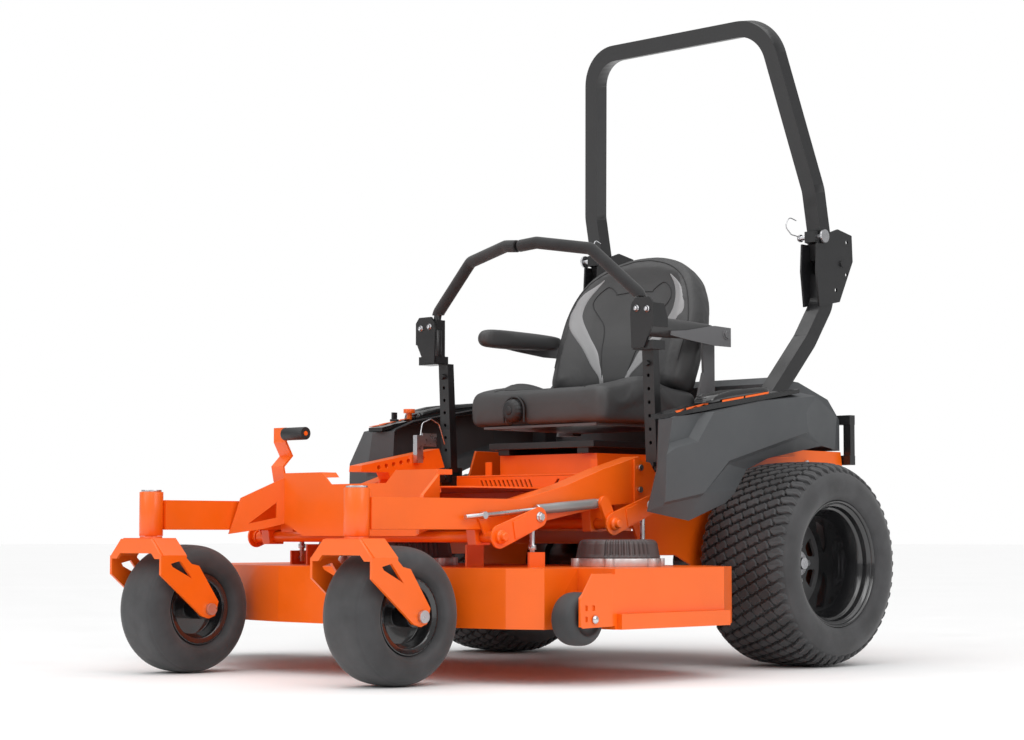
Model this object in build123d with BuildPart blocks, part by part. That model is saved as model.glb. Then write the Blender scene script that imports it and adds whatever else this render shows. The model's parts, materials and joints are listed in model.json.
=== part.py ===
from build123d import *
import math
import os

os.makedirs("parts", exist_ok=True)

# ---- Datum ----------------------------------------------------------------------------------
# Everything is laid out from the mower's own datum: x from its mid-plane (left is plus), y back
# from the front caster axles, z up from the ground. The planes below carry that datum to the
# part's origin, which is the middle of the whole outline, on the ground.
MID_X = 115.0
AXLE_Y = -830.0

# ---- Driving dimensions (mm) ------------------------------------------------------------------
GAP = 0.5                      # running clearance between pieces that move or bolt together
SEAM = 0.2                     # joint line between the plates and tubes of a welded frame
CASTER_X = 393.0
CASTER_R = 165.0               # 13 x 6.5-6 front tyre
CASTER_HALF = 82.0
TRAIL = 109.0                  # caster pivot ahead of its axle
WHEELBASE = 1362.0
REAR_X = 563.0
REAR_R = 277.0                 # 22 x 12-12 rear tyre
REAR_HALF = 152.0
RAIL_IN = 362.0
RAIL_OUT = 420.0
RAIL_LOW = 368.0
RAIL_TOP = 444.0
TUBE_LOW = 352.0               # caster pivot tube
TUBE_TOP = 465.0
STEM_R = 15.5
SIDE_IN = 390.0                # rear frame side plates
SIDE_OUT = 398.0
ROPS_X = 423.0
ROPS_SIZE = 48.0
ROPS_LEAN = 0.2                # forward lean of the hoop, per unit of height
FOLD_Y = 1728.0
FOLD_Z = 1140.0
PIN_Y = 1630.0
PIN_Z = 1212.0
DECK_LOW = 131.0
DECK_TOP = 275.0
DECK_WALL = 5.0
DECK_SIDE = 760.0
SPINDLES = [(500.0, 690.0), (0.0, 440.0), (-500.0, 690.0)]
SPINDLE_NAMES = ["left", "centre", "right"]
BLADE_R = 250.0
ROLLER_X = 709.0
ROLLER_Y = 307.0
ROLLER_Z = 157.0
ROLLER_R = 63.5
LIFT_FRONT = (297.0, 350.0)    # (y, z) of the front lift shaft
LIFT_REAR = (716.0, 383.0)     # (y, z) of the rear lift shaft
CRANK = (-26.0, 53.0)          # from each lift shaft to its link-rod pin
ROD_X = 434.5
ARM_IN = 448.0
ARM_OUT = 458.0
ARM_FRONT_END = (439.0, 399.0)
ARM_REAR_END = (858.0, 432.0)
LEVER_Y = 962.0
LEVER_Z = 480.0
LEVER_X = 391.0
SWING_X = 384.0
SWING_Z = 520.0
SEAT_HALF = 262.0
SEAT_FRONT = 905.0
CUSHION_LOW = 660.0
CUSHION_TOP = 775.0
ARM_HINGE = (1350.0, 918.0)    # (y, z) of the armrest hinges
GATE_Y = 744.5                 # cutting-height pin, in the sixth hole of its gate
GATE_Z = 566.2
GATE_HOLE = 6.5
CHUTE_HINGE = (-768.0, 262.0)  # (x, z) of the discharge chute hinge

PEDAL = (258.0, 622.0)         # (y, z) of the lift pedal's roller
HITCH_R = 10.0                 # hole for a 19 mm trailer pin

LEFT_RIGHT = [("left", 1), ("right", -1)]


# ---- Planes and small builders ----------------------------------------------------------------
def side(x):
    """Plane at x that looks along +X, with local (y, z)."""
    return Plane(origin=(MID_X + x, AXLE_Y, 0), x_dir=(0, 1, 0), z_dir=(1, 0, 0))


def front(y):
    """Plane at y that looks along -Y, with local (x, z)."""
    return Plane(origin=(MID_X, AXLE_Y + y, 0), x_dir=(1, 0, 0), z_dir=(0, -1, 0))


def level(z):
    """Plane at height z, with local (x, y)."""
    return Plane(origin=(MID_X, AXLE_Y, z))


def side_plate(points, x0, x1, mode=Mode.ADD):
    """Flat piece between x0 and x1 with a (y, z) outline."""
    with BuildSketch(side(min(x0, x1))) as outline:
        with BuildLine():
            Polyline(*points, close=True)
        make_face()
    extrude(outline.sketch, amount=abs(x1 - x0), mode=mode)


def front_plate(points, y0, y1, mode=Mode.ADD):
    """Flat piece between y0 and y1 with an (x, z) outline."""
    with BuildSketch(front(y1)) as outline:
        with BuildLine():
            Polyline(*points, close=True)
        make_face()
    extrude(outline.sketch, amount=y1 - y0, mode=mode)


def flat_plate(points, z0, z1, mode=Mode.ADD):
    """Flat piece between z0 and z1 with an (x, y) outline."""
    with BuildSketch(level(z0)) as outline:
        with BuildLine():
            Polyline(*points, close=True)
        make_face()
    extrude(outline.sketch, amount=z1 - z0, mode=mode)


def block(x0, x1, y0, y1, z0, z1, mode=Mode.ADD):
    """Box between two corners; x0 and x1 may come in either order."""
    side_plate([(y0, z0), (y1, z0), (y1, z1), (y0, z1)], x0, x1, mode)


def rod_x(y, z, radius, x0, x1, mode=Mode.ADD):
    """Round bar along X."""
    with BuildSketch(side(min(x0, x1))) as disc:
        with Locations((y, z)):
            Circle(radius)
    extrude(disc.sketch, amount=abs(x1 - x0), mode=mode)


def rod_y(x, z, radius, y0, y1, mode=Mode.ADD):
    """Round bar along Y."""
    with BuildSketch(front(y1)) as disc:
        with Locations((x, z)):
            Circle(radius)
    extrude(disc.sketch, amount=y1 - y0, mode=mode)


def rod_z(x, y, radius, z0, z1, mode=Mode.ADD):
    """Round bar along Z."""
    with BuildSketch(level(z0)) as disc:
        with Locations((x, y)):
            Circle(radius)
    extrude(disc.sketch, amount=z1 - z0, mode=mode)


def turned(points, x, y, z):
    """Solid of revolution about the X axis through (x, y, z); points are (along x, radius)."""
    middle = Plane(origin=(MID_X + x, AXLE_Y + y, z), x_dir=(1, 0, 0), z_dir=(0, -1, 0))
    with BuildSketch(middle) as profile:
        with BuildLine():
            Polyline(*points, close=True)
        make_face()
    revolve(profile.sketch, axis=Axis(middle.origin, (1, 0, 0)))


def bent_rod(points, bend, radius):
    """Round bar that follows a bent route of (x, y, z) points."""
    route = [(MID_X + x, AXLE_Y + y, z) for x, y, z in points]
    with BuildLine() as path:
        FilletPolyline(*route, radius=bend)
    with BuildSketch(Plane(origin=path.line @ 0, z_dir=path.line % 0)) as disc:
        Circle(radius)
    sweep(disc.sketch, path=path.wires()[0])


def save(piece, label):
    """Label a finished piece and write it."""
    piece.part.label = label
    export_step(piece.part, f"parts/{label}.step")


# ---- Chassis ----------------------------------------------------------------------------------
RAIL_LINE = [
    (-86, RAIL_LOW), (346, RAIL_LOW), (493, 388), (747, 431), (865, 440),
    (865, 561), (724, 525), (584, 481), (419, RAIL_TOP), (-86, RAIL_TOP),
]
RAIL_CORE = [
    (-70, RAIL_LOW + 5), (346, RAIL_LOW + 5), (493, 393), (747, 436), (870, 445),
    (870, 556), (724, 520), (584, 476), (419, RAIL_TOP - 5), (-70, RAIL_TOP - 5),
]
SIDE_LINE = [
    (850, 411), (1010, 440), (1070, 600), (1790, 596), (1796, 560), (1790, 420),
    (1700, 262), (1130, 262), (1040, 300), (905, 300),
]
JOINT_PLATE = [(838, 425), (893, 411), (985, 446), (985, 500), (920, 520), (900, 545), (838, 552)]


def shaft_bracket(sign, y, z, front_top, rear_top):
    """Hanging bracket that carries a lift shaft under a rail."""
    side_plate([(y - 24, z - 20), (y + 24, z - 20), (y + 30, rear_top - SEAM),
                (y - 30, front_top - SEAM)], sign * 376, sign * 406)


def make_main_frame():
    """Weldment: each tube and plate is its own solid, with a hairline seam between them."""
    rail_inside = RAIL_IN - SEAM
    plate_inside = SIDE_IN - SEAM
    with BuildPart() as frame:
        for _, sign in LEFT_RIGHT:
            side_plate(RAIL_LINE, sign * RAIL_IN, sign * RAIL_OUT)
            side_plate(RAIL_CORE, sign * (RAIL_IN + 4), sign * (RAIL_OUT - 4), Mode.SUBTRACT)
            rod_z(sign * CASTER_X, -TRAIL, 30.5 + SEAM, TUBE_LOW, TUBE_TOP, Mode.SUBTRACT)
            rod_z(sign * CASTER_X, -TRAIL, 30.5, TUBE_LOW, TUBE_TOP)
            side_plate(SIDE_LINE, sign * SIDE_IN, sign * SIDE_OUT)
            side_plate(JOINT_PLATE, sign * (RAIL_OUT + SEAM), sign * (RAIL_OUT + 8))
            block(sign * (SIDE_OUT + SEAM), sign * RAIL_OUT, 870, 884, 415, 540)
            shaft_bracket(sign, *LIFT_FRONT, RAIL_LOW, RAIL_LOW)
            shaft_bracket(sign, *LIFT_REAR, 420.5, 430.5)
            block(sign * (SIDE_OUT + SEAM), sign * 452, 1330, 1500, 575, 585)
        block(-rail_inside, rail_inside, 372, 422, 372, 420)
        block(-rail_inside, rail_inside, 760, 800, 434, 470)
        block(-plate_inside, plate_inside, 1100, 1140, 330, 366)
        block(-plate_inside, plate_inside, 1560, 1600, 330, 366)
        block(-plate_inside, plate_inside, 1782, 1790, 420, 596)
        block(-80, 80, 1745, 1822, 408, 420 - SEAM)
        block(-80, 80, 1774, 1782 - SEAM, 420, 470)
        rod_z(0, 1800, HITCH_R, 400, 430, Mode.SUBTRACT)
        for _, sign in LEFT_RIGHT:
            rod_z(sign * CASTER_X, -TRAIL, STEM_R + GAP, TUBE_LOW, TUBE_TOP, Mode.SUBTRACT)
            rod_x(WHEELBASE, REAR_R, 40, sign * SIDE_IN, sign * SIDE_OUT, Mode.SUBTRACT)
            rod_x(LEVER_Y, LEVER_Z, 14 + GAP, sign * RAIL_OUT, sign * (RAIL_OUT + 8), Mode.SUBTRACT)
        for y, z in (LIFT_FRONT, LIFT_REAR):
            rod_x(y, z, 14 + GAP, -410, 410, Mode.SUBTRACT)
    save(frame, "main_frame")


def make_floor_pan():
    panel = [
        (-294, 388), (-294, 518), (-141, 518), (-105, 486), (105, 486), (141, 518),
        (294, 518), (294, 388), (215, 352), (-215, 352),
    ]
    floor = [(-250, 254), (294, 254), (RAIL_IN - 2, 300), (RAIL_IN - 2, 890),
             (2 - RAIL_IN, 890), (2 - RAIL_IN, 450), (-250, 420)]
    with BuildPart() as pan:
        front_plate(panel, 250, 254)
        flat_plate(floor, 472, 476)
        block(-250, 294, 250, 262, 460, 476)
        for _, sign in LEFT_RIGHT:
            brace = Plane(
                origin=(MID_X + sign * (RAIL_IN - 2), AXLE_Y + 118, 0),
                x_dir=(-sign * 66, 134, 0), z_dir=(134, sign * 66, 0))
            with BuildSketch(brace) as gusset:
                with BuildLine():
                    Polyline((0, 357), (32, 452), (149, 506), (149, 384), (90, 370), close=True)
                make_face()
                with BuildLine():
                    Polyline((52, 384), (128, 440), (128, 400), close=True)
                make_face(mode=Mode.SUBTRACT)
            extrude(gusset.sketch, amount=4, both=True)
        front_plate([(-294, 505), (-294, 518), (-141, 518), (-128, 505)], 254, 300)
        front_plate([(294, 505), (294, 518), (141, 518), (128, 505)], 254, 300)
    save(pan, "floor_pan")


def make_battery_box():
    """Folded sheet box, open below: four walls, a top and the raised cover on it."""
    with BuildPart() as box:
        block(-300, 300, 900, 905, 372, 517 - SEAM)
        block(-300, 300, 1735, 1740, 372, 517 - SEAM)
        for sign in (1, -1):
            block(sign * 295, sign * 300, 905 + SEAM, 1735 - SEAM, 372, 517 - SEAM)
            block(sign * 190, sign * 214, 930, 934, 522 + SEAM, 560)
        block(-300, 300, 900, 1740, 517, 522)
        block(-185, 185, 960, 1420, 522 + SEAM, 578)
        block(-180, 180, 965, 1415, 522, 573, Mode.SUBTRACT)
        for count in range(10):
            x = -190 + count * 22
            front_plate([(x, 440), (x + 9, 440), (x + 33, 500), (x + 24, 500)], 899, 905 + SEAM,
                        Mode.SUBTRACT)
        for x in (50, 92, 134):
            front_plate([(x, 450), (x + 10, 450), (x + 38, 505), (x + 28, 505)], 899,
                        905 + SEAM, Mode.SUBTRACT)
    save(box, "battery_box")


def make_battery_and_controllers():
    """The battery modules and, behind them, two finned motor controllers."""
    with BuildPart() as pack:
        for y in (930, 1208):
            block(-270, 270, y, y + 272, 374, 510)
        for sign in (1, -1):
            block(sign * 60, sign * 250, 1520, 1700, 380, 440)
            for fin in range(6):
                x = sign * (75 + fin * 30)
                block(x, x + sign * 6, 1530, 1690, 440, 462)
    save(pack, "battery_and_controllers")


def make_wheel_motors():
    with BuildPart() as motors:
        for sign in (1, -1):
            turned([(0, 0), (0, 62), (sign * 150, 62), (sign * 150, 82), (sign * 222, 82),
                    (sign * 222, 38), (sign * 240, 38), (sign * 240, 0)],
                   sign * (SIDE_IN - GAP - 222), WHEELBASE, REAR_R)
    save(motors, "wheel_motors")


FENDER_SIDE = [
    (779, 540), (739, 414), (875, 389), (1035, 438), (1135, 529), (1228, 560),
    (1453, 600), (1514, 596), (1560, 600), (1560, 690), (1420, 740), (949, 676), (798, 652),
]
FENDER_PLAN = [
    (500, 800), (556, 738), (604, 757), (604, 1410), (520, 1560), (452, 1560),
    (452, 1040), (500, 1040),
]


def make_fender(name, sign):
    with BuildPart() as fender:
        side_plate(FENDER_SIDE, sign * 452, sign * 604)
        with BuildSketch(side(sign * 599)) as hollow:
            with BuildLine():
                Polyline(*FENDER_SIDE, close=True)
            make_face()
            offset(amount=-5, kind=Kind.INTERSECTION)
        extrude(hollow.sketch, amount=-sign * 160, mode=Mode.SUBTRACT)
        plan = [(sign * x, y) for x, y in FENDER_PLAN]
        flat_plate(plan, 380, 760, Mode.INTERSECT)
    save(fender, f"fender_{name}")


def make_console_trays():
    with BuildPart() as trays:
        for _, sign in LEFT_RIGHT:
            lower = [(800, 655 + GAP), (949, 676 + GAP), (1340, 732 + 4), (1340, 748),
                     (1250, 742), (949, 692), (800, 672)]
            side_plate(lower, sign * 500, sign * 585)
    save(trays, "console_trays")


def make_rear_hood():
    outline = [(1440, 620), (1440, 780), (1470, 800), (1600, 792), (1740, 748),
               (1796, 690), (1796, 600), (1760, 600), (1760, 620)]
    with BuildPart() as hood:
        side_plate(outline, -390, 390)
        with BuildSketch(side(0)) as hollow:
            with BuildLine():
                Polyline((1446, 600), (1446, 778), (1472, 794), (1599, 786), (1737, 743),
                         (1790, 688), (1790, 600), close=True)
            make_face()
        extrude(hollow.sketch, amount=384, both=True, mode=Mode.SUBTRACT)
    save(hood, "rear_hood")


def make_rear_bumper():
    with BuildPart() as bumper:
        for z in (572, 690):
            block(-425, 425, 1799, 1825, z - 14, z + 14)
        for x in (-425, -200, 175, 400):
            block(x, x + 25, 1801, 1823, 560, 700)
        for _, sign in LEFT_RIGHT:
            block(sign * 300, sign * 360, 1792, 1799, 560, 584)
    save(bumper, "rear_bumper")


FOLD_PLATE = [
    (1672, 1227), (1711, 1240), (1779, 1227), (1783, 1151), (1717, 1028), (1620, 1010),
    (1607, 1113), (1612, 1192), (1642, 1192),
]


def make_rops_lower():
    with BuildPart() as lower:
        for _, sign in LEFT_RIGHT:
            x = MID_X + sign * ROPS_X
            stations = [(1400, 586), (1400, 720), (1585, 908), (1668, 1019), (1674, 1104)]
            route = [(x, AXLE_Y + y, z) for y, z in stations]
            with BuildLine() as path:
                FilletPolyline(*route, radius=60)
            with BuildSketch(Plane(origin=route[0], x_dir=(1, 0, 0), z_dir=(0, 0, 1))) as square:
                Rectangle(ROPS_SIZE, ROPS_SIZE)
            sweep(square.sketch, path=path.wires()[0])
            for face in (ROPS_X - 30, ROPS_X + 24):
                side_plate(FOLD_PLATE, sign * face, sign * (face + 6))
            for y, z in ((1755, 1205), (1752, 1110), (1700, 1062)):
                rod_x(y, z, 6, sign * 380, sign * 460, Mode.SUBTRACT)
            rod_x(FOLD_Y, FOLD_Z, 10, sign * (ROPS_X - 36), sign * (ROPS_X + 36))
            block(sign * (SIDE_OUT + 1), sign * (ROPS_X + 29), 1352, 1448, 585 + GAP, 597)
    save(lower, "rops_lower")


def make_rops_hoop():
    lean = Plane(origin=(MID_X, AXLE_Y + 1674, 1150), x_dir=(1, 0, 0), z_dir=(0, -1, -ROPS_LEAN))
    rise = math.hypot(1, ROPS_LEAN)
    half = [(ROPS_X, 0), (ROPS_X, 200 * rise), (333, 684 * rise)]
    line = half + [(-x, v) for x, v in reversed(half)]
    with BuildPart() as hoop:
        with BuildLine(lean) as path:
            FilletPolyline(*line, radius=110)
        start = path.line @ 0
        with BuildSketch(Plane(origin=start, x_dir=(1, 0, 0), z_dir=path.line % 0)) as square:
            Rectangle(ROPS_SIZE - 1, ROPS_SIZE - 1)
        sweep(square.sketch, path=path.wires()[0])
        for _, sign in LEFT_RIGHT:
            ear = [(1652, 1152), (1650, 1185), (1690, 1190), (1752, 1160), (1752, 1120),
                   (1712, 1112)]
            side_plate(ear, sign * 404, sign * 442)
            side_plate([(1616, 1196), (1660, 1190), (1660, 1232), (1616, 1228)],
                       sign * 404, sign * 442)
            rod_x(FOLD_Y, FOLD_Z, 10 + GAP, sign * 400, sign * 446, Mode.SUBTRACT)
            rod_x(PIN_Y, PIN_Z, 8, sign * 400, sign * 446, Mode.SUBTRACT)
    save(hoop, "rops_hoop")


def make_rops_pin(name, sign):
    with BuildPart() as pin:
        rod_x(PIN_Y, PIN_Z, 7.4, sign * 372, sign * 462)
        rod_x(PIN_Y, PIN_Z, 19, sign * 462, sign * 468)
        bent_rod([(sign * 380, PIN_Y - 8, PIN_Z + 4), (sign * 376, PIN_Y - 40, PIN_Z + 8),
                  (sign * 374, PIN_Y - 66, PIN_Z + 30), (sign * 376, PIN_Y - 50, PIN_Z + 58),
                  (sign * 380, PIN_Y - 22, PIN_Z + 50)], 14, 1.6)
        rod_x(PIN_Y, PIN_Z, 11, sign * 376, sign * 382)
    save(pin, f"rops_pin_{name}")


def make_frame_bolts():
    with BuildPart() as bolts:
        for _, sign in LEFT_RIGHT:
            for y, z in ((858, 531), (856, 473)):
                rod_x(y, z, 8, sign * (RAIL_OUT + 8 + GAP), sign * (RAIL_OUT + 15))
            for y, z in ((1170, 560), (1620, 560)):
                rod_x(y, z, 8, sign * (SIDE_OUT + GAP), sign * (SIDE_OUT + 7))
            rod_z(sign * CASTER_X, -TRAIL, 26, TUBE_TOP + GAP, TUBE_TOP + 5)
    save(bolts, "frame_bolts")


def make_height_gate():
    outline = [(540, 545), (836, 599), (858, 546), (651, 509), (640, 528), (538, 528)]
    with BuildPart() as gate:
        side_plate(outline, -356, -306)
        for count in range(7):
            y = GATE_Y + (count - 5) * 28
            z = GATE_Z + (count - 5) * 28 * 0.182
            rod_x(y, z, GATE_HOLE, -356, -306, Mode.SUBTRACT)
        side_plate([(640, 478), (700, 478), (760, 530), (700, 520), (651, 510)], -356, -350)
    save(gate, "height_gate")


# ---- Casters ----------------------------------------------------------------------------------
FORK_CHEEK = [
    (-158, 302), (-158, 254), (-27, 148), (-4, 141), (16, 148), (27, 184),
    (-37, 276), (-61, 281), (-84, 302),
]
FORK_WINDOW = [(-127, 282), (-97, 289), (-59, 243), (-70, 249), (-122, 274)]
FORK_BEND = [(108, 296), (108, 303), (62, 347)]       # (across, z) of the crown's outer face
FORK_INSIDE = [(58.7, 339), (100, 299.7), (100, 296)]
FORK_SKIRT = [(104, 294), (80, 294), (66, 308)]


def make_fork(name, sign):
    """Crown folded down at both shoulders and at the front, with a cheek each side."""
    centre = sign * CASTER_X
    crown = FORK_BEND + [(-u, z) for u, z in reversed(FORK_BEND)]
    crown += [(-u, z) for u, z in reversed(FORK_INSIDE)] + FORK_INSIDE
    skirt = [(104, 303), (62, 345), (-62, 345), (-104, 303)]
    skirt += [(-u, z) for u, z in FORK_SKIRT] + list(reversed(FORK_SKIRT))
    with BuildPart() as fork:
        front_plate([(centre + u, z) for u, z in crown], -150, -77)
        front_plate([(centre + u, z) for u, z in skirt], -158, -150)
        for inner in (-108, 100):
            side_plate(FORK_CHEEK, centre + inner, centre + inner + 8)
            side_plate(FORK_WINDOW, centre + inner - 1, centre + inner + 9, Mode.SUBTRACT)
        rod_z(centre, -TRAIL, 29, 340, TUBE_LOW - GAP)
        rod_z(centre, -TRAIL, STEM_R, TUBE_LOW - GAP, TUBE_TOP - 4)
        rod_x(0, CASTER_R, 9, centre - 110, centre + 110, Mode.SUBTRACT)
    save(fork, f"caster_fork_{name}")


def make_caster_hardware(name, sign):
    centre = sign * CASTER_X
    with BuildPart() as axle:
        rod_x(0, CASTER_R, 8.5, centre - 108, centre + 108)
        for x0 in (-118, 108 + GAP):
            rod_x(0, CASTER_R, 15, centre + x0, centre + x0 + 9.5)
        rod_x(0, CASTER_R, 8.5, centre - 110, centre + 110)
        for x0 in (-99.5, 85.5):
            rod_x(0, CASTER_R, 14, centre + x0, centre + x0 + 14)
    save(axle, f"caster_axle_{name}")


def make_caster_wheel(name, sign):
    centre = sign * CASTER_X
    with BuildPart() as rim:
        turned([(-84, 9), (-84, 26), (-30, 26), (-30, 66), (-62, 76), (-66, 92), (-58, 92),
                (-54, 80), (54, 80), (58, 92), (66, 92), (62, 76), (30, 66), (30, 26),
                (84, 26), (84, 9)], centre, 0, CASTER_R)
    save(rim, f"caster_rim_{name}")
    with BuildPart() as tyre:
        turned([(-53, 80.5), (-57, 93), (-72, 100), (-82, 118), (-80, 136), (-66, 154),
                (-40, 163), (0, 165), (40, 163), (66, 154), (80, 136), (82, 118), (72, 100),
                (57, 93), (53, 80.5)], centre, 0, CASTER_R)
    save(tyre, f"caster_tyre_{name}")


# ---- Rear wheels ------------------------------------------------------------------------------
def make_rear_wheel(name, sign):
    centre = sign * REAR_X
    barrel = [(-150, 150), (-138, 172), (-132, 172), (-132, 160), (-60, 140), (60, 140),
              (127, 160), (127, 172), (137, 172), (137, 158), (72, 132), (-62, 132), (-140, 150)]
    with BuildPart() as rim:
        turned([(sign * u, r) for u, r in barrel], centre, WHEELBASE, REAR_R)
        turned([(sign * u, r) for u, r in ((-28, 60), (-38, 60), (-38, 132 - SEAM),
                                           (-28, 132 - SEAM))], centre, WHEELBASE, REAR_R)
        with BuildSketch(side(centre - sign * 28)) as windows:
            with Locations((WHEELBASE, REAR_R)):
                with PolarLocations(98, 8):
                    Trapezoid(46, 40, 76, rotation=90)
        extrude(windows.sketch, amount=20, both=True, mode=Mode.SUBTRACT)
    save(rim, f"rear_rim_{name}")
    with BuildPart() as tyre:
        half = [(0, 277), (96, 273), (128, 262), (146, 236), (152, 208), (146, 184),
                (137, 173), (126.5, 172.5), (126.5, 160.5), (60, 140.5)]
        line = half + [(-u, r) for u, r in reversed(half[1:])]
        turned(line, centre, WHEELBASE, REAR_R)
    save(tyre, f"rear_tyre_{name}")
    with BuildPart() as hub:
        turned([(sign * (-150), 0), (sign * (-150), 30), (sign * (-52), 30), (sign * (-52), 74),
                (sign * (-38.5), 74), (sign * (-38.5), 59.5), (sign * (-24), 40),
                (sign * 4, 34), (sign * 4, 16), (sign * 22, 16), (sign * 22, 0)],
               centre, WHEELBASE, REAR_R)
        with BuildSketch(side(centre - sign * 20)) as studs:
            with Locations((WHEELBASE, REAR_R)):
                with PolarLocations(50, 5):
                    RegularPolygon(8, 6)
        extrude(studs.sketch, amount=18, both=True)
    save(hub, f"rear_hub_{name}")


# ---- Steering levers --------------------------------------------------------------------------
def make_lever(name, sign):
    with BuildPart() as base:
        rod_x(LEVER_Y, LEVER_Z, 14, sign * 322, sign * (RAIL_OUT + 7))
        block(sign * 362, sign * 406, 944, 980, 468, 525)
        rod_y(sign * SWING_X, SWING_Z, 7, 930, 994)
        block(sign * 326, sign * 338, 950, 974, 430, 480)
    save(base, f"lever_base_{name}")
    x0 = LEVER_X - 19
    x1 = LEVER_X + 19
    bar = [(949, 536), (975, 536), (958, 849), (934, 849)]
    plate = [(378, 850), (374, 940), (378, 968), (392, 984), (440, 984), (454, 968),
             (454, 915), (420, 850)]
    with BuildPart() as lever:
        side_plate(bar, sign * x0, sign * x1)
        for y0 in (934, 981):
            block(sign * (SWING_X - 16), sign * (SWING_X + 22), y0, y0 + 9, 506, 548)
        block(sign * x0, sign * x1, 934, 990, 536, 548)
        rod_y(sign * SWING_X, SWING_Z, 7 + GAP, 930, 994, Mode.SUBTRACT)
        front_plate([(sign * x, z) for x, z in plate], 884, 891)
        side_plate([(884, 905), (945, 905), (945, 930), (930, 968), (884, 968)],
                   sign * 448, sign * 454)
        block(sign * 376, sign * 448, 891, 940, 846, 870)
        side_plate([(891, 850), (925, 850), (925, 975), (891, 975)], sign * 374, sign * 380)
        for count in range(6):
            rod_y(sign * LEVER_X, 600 + count * 36, 5, 925, 990, Mode.SUBTRACT)
        for x, z in ((396.7, 955.6), (433, 952)):
            rod_y(sign * x, z, 8, 878, 884)
        rod_y(sign * LEVER_X, 812, 8, 925, 940)
        bent_rod([(sign * 389, 902, 900), (sign * 389, 910, 994), (sign * 230.5, 887, 1130),
                  (sign * 59, 854, 1158), (sign * 9, 845, 1153)], 34, 11)
        rod_z(sign * 389, 902, 18, 870, 945)
    save(lever, f"lever_{name}")


def make_grip(name, sign):
    route = [(sign * 389, 902, 900), (sign * 389, 910, 994), (sign * 230.5, 887, 1130),
             (sign * 59, 854, 1158), (sign * 4, 844.3, 1152.6)]
    with BuildPart() as grip:
        bent_rod(route, 34, 17)
        with BuildPart(mode=Mode.PRIVATE) as core:
            bent_rod(route, 34, 11 + GAP)
        add(core.part, mode=Mode.SUBTRACT)
        trim = [(350, 800), (440, 800), (440, 990), (350, 990)]
        front_plate([(sign * x, z) for x, z in trim], 860, 950, Mode.SUBTRACT)
        block(-sign * 10, sign * 7, 800, 900, 1100, 1200, Mode.SUBTRACT)
    save(grip, f"lever_grip_{name}")


# ---- Seat -------------------------------------------------------------------------------------
def make_seat():
    with BuildPart() as slides:
        for sign in (1, -1):
            block(sign * 130, sign * 172, 940, 1330, 578 + GAP, 594)
        block(-200, 200, 930, 1335, 594, 612)
    save(slides, "seat_slides")
    with BuildPart() as pan:
        block(-215, 215, 925, 1325, 653, CUSHION_LOW - GAP)
        for _, sign in LEFT_RIGHT:
            side_plate([(1290, 646), (1345, 646), (1362, 700), (1362, 900), (1335, 935),
                        (1310, 900), (1318, 700)], sign * 266, sign * 274)
            block(sign * 205, sign * 266, 1290, 1325, 646, 656)
            side_plate([(1262, 700), (1300, 690), (1316, 800), (1296, 810)],
                       sign * 278, sign * 286)
            block(sign * 274, sign * 286, 1296, 1318, 690, 710)
            rod_x(*ARM_HINGE, 9, sign * 274, sign * 312)
    save(pan, "seat_pan")
    seat_line = [(SEAT_FRONT, CUSHION_LOW), (SEAT_FRONT - 3, 700), (SEAT_FRONT + 6, 752),
                 (SEAT_FRONT + 40, 764), (1120, CUSHION_TOP), (1318, 784), (1318, CUSHION_LOW)]
    with BuildPart() as cushion:
        side_plate(seat_line, -SEAT_HALF, SEAT_HALF)
        rod_y(-70, 700, 34, 890, 925, Mode.SUBTRACT)
    save(cushion, "seat_cushion")
    back = Plane(origin=(MID_X, AXLE_Y + 1226, 788), x_dir=(1, 0, 0), z_dir=(0, -0.94, 0.34))
    half = [(0, 424), (117, 402), (196, 345), (238, 262), (254, 170), (250, 36)]
    with BuildPart() as rest:
        with BuildSketch(back) as shape:
            with BuildLine():
                Polyline(*half, *[(-x, v) for x, v in reversed(half[1:])], close=True)
            make_face()
        extrude(shape.sketch, amount=-104)
    save(rest, "seat_back")
    with BuildPart() as knob:
        rod_y(-70, 700, 24, 884, 908)
        rod_y(-70, 700, 31, 893, 900)
    save(knob, "seat_knob")


def make_armrest(name, sign):
    with BuildPart() as arm:
        side_plate([(980, 912), (1000, 896), (1310, 900), (1322, 940), (1010, 946), (984, 936)],
                   sign * 276, sign * 330)
        side_plate([(1110, 885), (1366, 897), (1366, 938), (1330, 940), (1110, 899)],
                   sign * 300, sign * 306)
        rod_x(*ARM_HINGE, 9 + GAP, sign * 270, sign * 335, Mode.SUBTRACT)
    save(arm, f"armrest_{name}")


# ---- Cutting deck -----------------------------------------------------------------------------
DECK_HALF = [
    (0, 150), (200, 155), (393, 188), (560, 218), (645, 262), (640, 385), (DECK_SIDE, 385),
    (DECK_SIDE, 795), (700, 900), (560, 965), (430, 965), (340, 925), (180, 860), (0, 860),
]


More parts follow.
